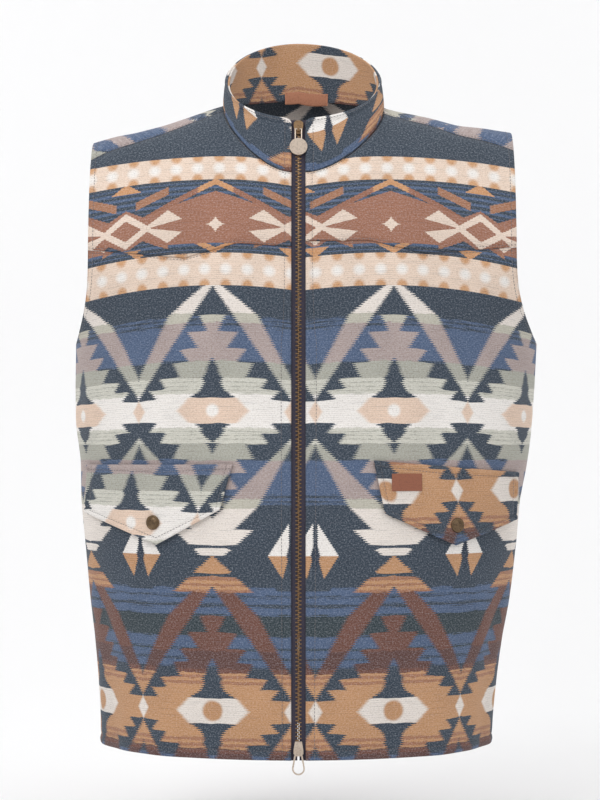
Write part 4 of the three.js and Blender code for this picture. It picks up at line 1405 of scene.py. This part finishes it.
def tooth(vertices, faces, point, normal, along, sign):
    """One metal tooth: a bar from its tape that widens at the middle and narrows at its tip."""
    across = Vector((sign, 0, 0))
    start = len(vertices)
    rings = ((TOOTH_ROOT, 0.8, 1.0), (1.7, 0.95, 1.0), (0.3, 1.15, 0.92), (-TOOTH_TIP, 0.75, 0.7))
    outline = ((-1, -0.6), (-0.6, -1), (0.6, -1), (1, -0.6), (1, 0.6), (0.6, 1), (-0.6, 1), (-1, 0.6))
    for x, height, depth in rings:
        for a, b in outline:
            offset = along * (a * height * TOOTH_HALF_HEIGHT) + normal * (b * depth * TOOTH_HALF_DEPTH)
            vertices.append(point + across * x + offset)
    turned = 1 if sign > 0 else -1
    for ring in range(3):
        for k in range(8):
            a = start + ring * 8 + k
            b = start + ring * 8 + (k + 1) % 8
            face = (a, b, b + 8, a + 8)
            faces.append(face if turned > 0 else tuple(reversed(face)))
    root = tuple(start + k for k in range(8))
    tip = tuple(start + 24 + k for k in range(8))
    faces.append(tuple(reversed(root)) if turned > 0 else root)
    faces.append(tip if turned > 0 else tuple(reversed(tip)))


def build_teeth():
    vertices, faces = [], []
    line = zip_line(ZIP_BOTTOM_SLIDER - 0.002, ZIP_TOP_SLIDER + 0.004)
    for k, (point, normal, along) in enumerate(walk(line, TOOTH_PITCH / 2)):
        tooth(vertices, faces, point, normal, along, 1 if k % 2 else -1)
    obj = mesh_object("zip_teeth", vertices, faces, BRASS, smooth=False)
    keep(obj, "zip_chain")


def dress_cad_node(node, material, bevel_mm=0.22):
    """A hard piece is shown as its CAD node, with softened edges."""
    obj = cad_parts[node]
    obj.data.materials.clear()
    obj.data.materials.append(material)
    for polygon in obj.data.polygons:
        polygon.use_smooth = True
    bevel = obj.modifiers.new("soft_edges", "BEVEL")
    bevel.width = bevel_mm * MM
    bevel.segments = 2
    bevel.limit_method = "ANGLE"
    bevel.angle_limit = math.radians(40)
    bevel.harden_normals = True


# Snaps, patch and hanger loop
SNAP_PROFILE = (
    (0.0, 2.75), (1.6, 2.72), (3.2, 2.5), (4.4, 2.1), (5.0, 1.75), (5.4, 1.62), (5.9, 1.7), (6.4, 2.0),
    (6.9, 2.02), (7.3, 1.7), (7.6, 1.2), (7.6, 0.4), (7.3, 0.05), (0.0, 0.05),
)
SNAP_SIDES = 48


def build_snap(side):
    x, z = FLAPS[side]["snap"]
    point, normal = flap_frame(side, x, z, FLAP_CLOTH + SEAM_GAP + 0.1)
    turn = Vector((0, 0, 1)).rotation_difference(normal)
    vertices, faces = [], []
    for radius, height in SNAP_PROFILE:
        for k in range(SNAP_SIDES):
            a = 2 * math.pi * k / SNAP_SIDES
            dent = 0.06 * math.sin(7 * a + radius) if radius < 5 else 0
            local = Vector((radius * math.cos(a), radius * math.sin(a), height + dent))
            vertices.append(point + turn @ local)
    rings = len(SNAP_PROFILE)
    centre = [len(vertices), len(vertices) + 1]
    vertices.append(point + turn @ Vector((0, 0, SNAP_PROFILE[0][1])))
    vertices.append(point + turn @ Vector((0, 0, SNAP_PROFILE[-1][1])))
    for ring in range(1, rings - 2):
        for k in range(SNAP_SIDES):
            a = ring * SNAP_SIDES + k
            b = ring * SNAP_SIDES + (k + 1) % SNAP_SIDES
            faces.append((a, a + SNAP_SIDES, b + SNAP_SIDES, b))
    for k in range(SNAP_SIDES):
        after = (k + 1) % SNAP_SIDES
        faces.append((centre[0], SNAP_SIDES + k, SNAP_SIDES + after))
        low = (rings - 2) * SNAP_SIDES
        faces.append((centre[1], low + after, low + k))
    used = sorted({index for face in faces for index in face})
    renumbered = {index: k for k, index in enumerate(used)}
    vertices = [vertices[index] for index in used]
    faces = [tuple(renumbered[index] for index in face) for face in faces]
    obj = mesh_object(f"snap_{side}_cap", vertices, faces, SNAP_BRASS)
    keep(obj, f"snap_{side}")


def build_patch():
    xs = edge_lines(PATCH["x1"] - PATCH["x0"], 1.6, None, None)
    zs = edge_lines(PATCH["z1"] - PATCH["z0"], 0.45, None, None)
    out = FLAP_CLOTH + SEAM_GAP + PATCH["thick"]
    grid = [[flap_frame("left", PATCH["x0"] + x, PATCH["z0"] + z, out) for z in zs] for x in xs]
    edges = ((RAW, None),) * 4

    def ribs(point, across, up):
        return 0.14 * math.sin(up * 2 * math.pi / 1.9)

    def weave(i, j, point, run, up):
        return run, up, 0

    obj, face = cloth_wall("label_patch_leather", grid, PATCH["thick"], edges, weave, LEATHER,
                           creases=False, relief=ribs)
    keep(obj, "label_patch")


LOOP_SAG = 3.0


def build_loop():
    columns = 40
    grid = []
    for i in range(columns + 1):
        x = lerp(LOOP["x0"], LOOP["x1"], i / columns)
        side = "right" if x < 0 else "left"
        turn = math.pi - math.asin(abs(x) / NECK_HALF_WIDTH[side])
        column = []
        for place in edge_lines(2 * LOOP["half_height"], 1.6, None, None):
            up = (place - LOOP["half_height"]) / COLLAR_HEIGHT
            point, normal = collar_frame(side, turn, up)
            middle = math.sin(math.pi * i / columns)
            sag = Vector((0, 0, LOOP_SAG * middle))
            column.append((point - normal * (2 * COLLAR_CLOTH + 2 * SEAM_GAP + LOOP["bow"] * middle) - sag, normal))
        grid.append(column)
    edges = ((RAW, None),) * 4

    def weave(i, j, point, run, up):
        return run, up, 0

    obj, face = cloth_wall("hanger_loop_strip", grid, LOOP["thick"], edges, weave, SUEDE, creases=False)
    keep(obj, "hanger_loop")


# Floor, backdrop, lights and camera
CAMERA_DISTANCE = 2.6
CAMERA_X = 0.0016
CAMERA_Z = -0.313
FRAME_HEIGHT = 0.864
SENSOR = 36.0


def build_stage():
    """A pale floor that sweeps up behind the vest, and that is seen only from its front."""
    material, tree, shader = new_material("studio_white")
    shader.inputs["Base Color"].default_value = (0.94, 0.94, 0.945, 1)
    shader.inputs["Roughness"].default_value = 1.0
    shader.inputs["Specular IOR Level"].default_value = 0.0
    from_behind = tree.nodes.new("ShaderNodeNewGeometry")
    clear = tree.nodes.new("ShaderNodeBsdfTransparent")
    either_side = tree.nodes.new("ShaderNodeMixShader")
    tree.links.new(from_behind.outputs["Backfacing"], either_side.inputs[0])
    tree.links.new(shader.outputs[0], either_side.inputs[1])
    tree.links.new(clear.outputs[0], either_side.inputs[2])
    tree.links.new(either_side.outputs[0], tree.nodes["Material Output"].inputs["Surface"])
    floor_z, back_y, bend = -0.78, 1.6, 0.6
    profile = [(-4.0, floor_z), (back_y - bend, floor_z)]
    for k in range(1, 13):
        turn = RIGHT_ANGLE * k / 12
        profile.append((back_y - bend + bend * math.sin(turn), floor_z + bend - bend * math.cos(turn)))
    profile.append((back_y, 3.0))
    vertices = [(x, y, z) for x in (-4.0, 4.0) for y, z in profile]
    n = len(profile)
    faces = [(k, n + k, n + k + 1, k + 1) for k in range(n - 1)]
    mesh = bpy.data.meshes.new("studio")
    mesh.from_pydata(vertices, [], faces)
    for polygon in mesh.polygons:
        polygon.use_smooth = True
    mesh.materials.append(material)
    studio = bpy.data.objects.new("studio", mesh)
    bpy.context.scene.collection.objects.link(studio)


def area_light(name, place, size, energy):
    data = bpy.data.lights.new(name, "AREA")
    data.shape = "RECTANGLE"
    data.size, data.size_y = size
    data.energy = energy
    light = bpy.data.objects.new(name, data)
    light.location = place
    aim = Vector((0, 0, -0.32)) - Vector(place)
    light.rotation_euler = aim.to_track_quat("-Z", "Y").to_euler()
    bpy.context.scene.collection.objects.link(light)


def build_lights():
    bpy.context.scene.view_settings.view_transform = "Standard"
    area_light("key", (-1.3, -1.9, 1.2), (1.5, 1.5), 27)
    area_light("fill", (1.6, -1.8, 0.5), (1.8, 1.8), 11)
    area_light("top", (0.0, -0.2, 1.6), (1.6, 1.2), 12)
    area_light("rear_left", (-1.6, 1.0, 0.5), (1.2, 1.6), 6)
    area_light("rear_right", (1.6, 1.0, 0.5), (1.2, 1.6), 6)
    world = bpy.data.worlds.new("studio_world")
    world.use_nodes = True
    world.node_tree.nodes["Background"].inputs["Color"].default_value = (1, 1, 1, 1)
    world.node_tree.nodes["Background"].inputs["Strength"].default_value = 0.5
    bpy.context.scene.world = world


def build_camera():
    data = bpy.data.cameras.new("camera")
    data.sensor_fit = "VERTICAL"
    data.sensor_height = SENSOR
    data.lens = SENSOR * CAMERA_DISTANCE / FRAME_HEIGHT
    camera = bpy.data.objects.new("camera", data)
    camera.location = (CAMERA_X, -CAMERA_DISTANCE, CAMERA_Z)
    camera.rotation_euler = (RIGHT_ANGLE, 0, 0)
    bpy.context.scene.collection.objects.link(camera)
    bpy.context.scene.camera = camera


for side_name in ("right", "left"):
    build_front(side_name)
    build_yoke(side_name)
    build_flap(side_name)
    build_snap(side_name)
    build_tape(side_name)
build_back()
build_collar()
build_teeth()
build_patch()
build_loop()
stitch_mesh("topstitching", stitch_lines, THREAD)
dress_cad_node("slider_top", BRASS)
dress_cad_node("slider_bottom", NICKEL)
dress_cad_node("pull_top", NICKEL)
dress_cad_node("pull_bottom", NICKEL)
build_stage()
build_lights()
build_camera()

bpy.context.view_layer.update()
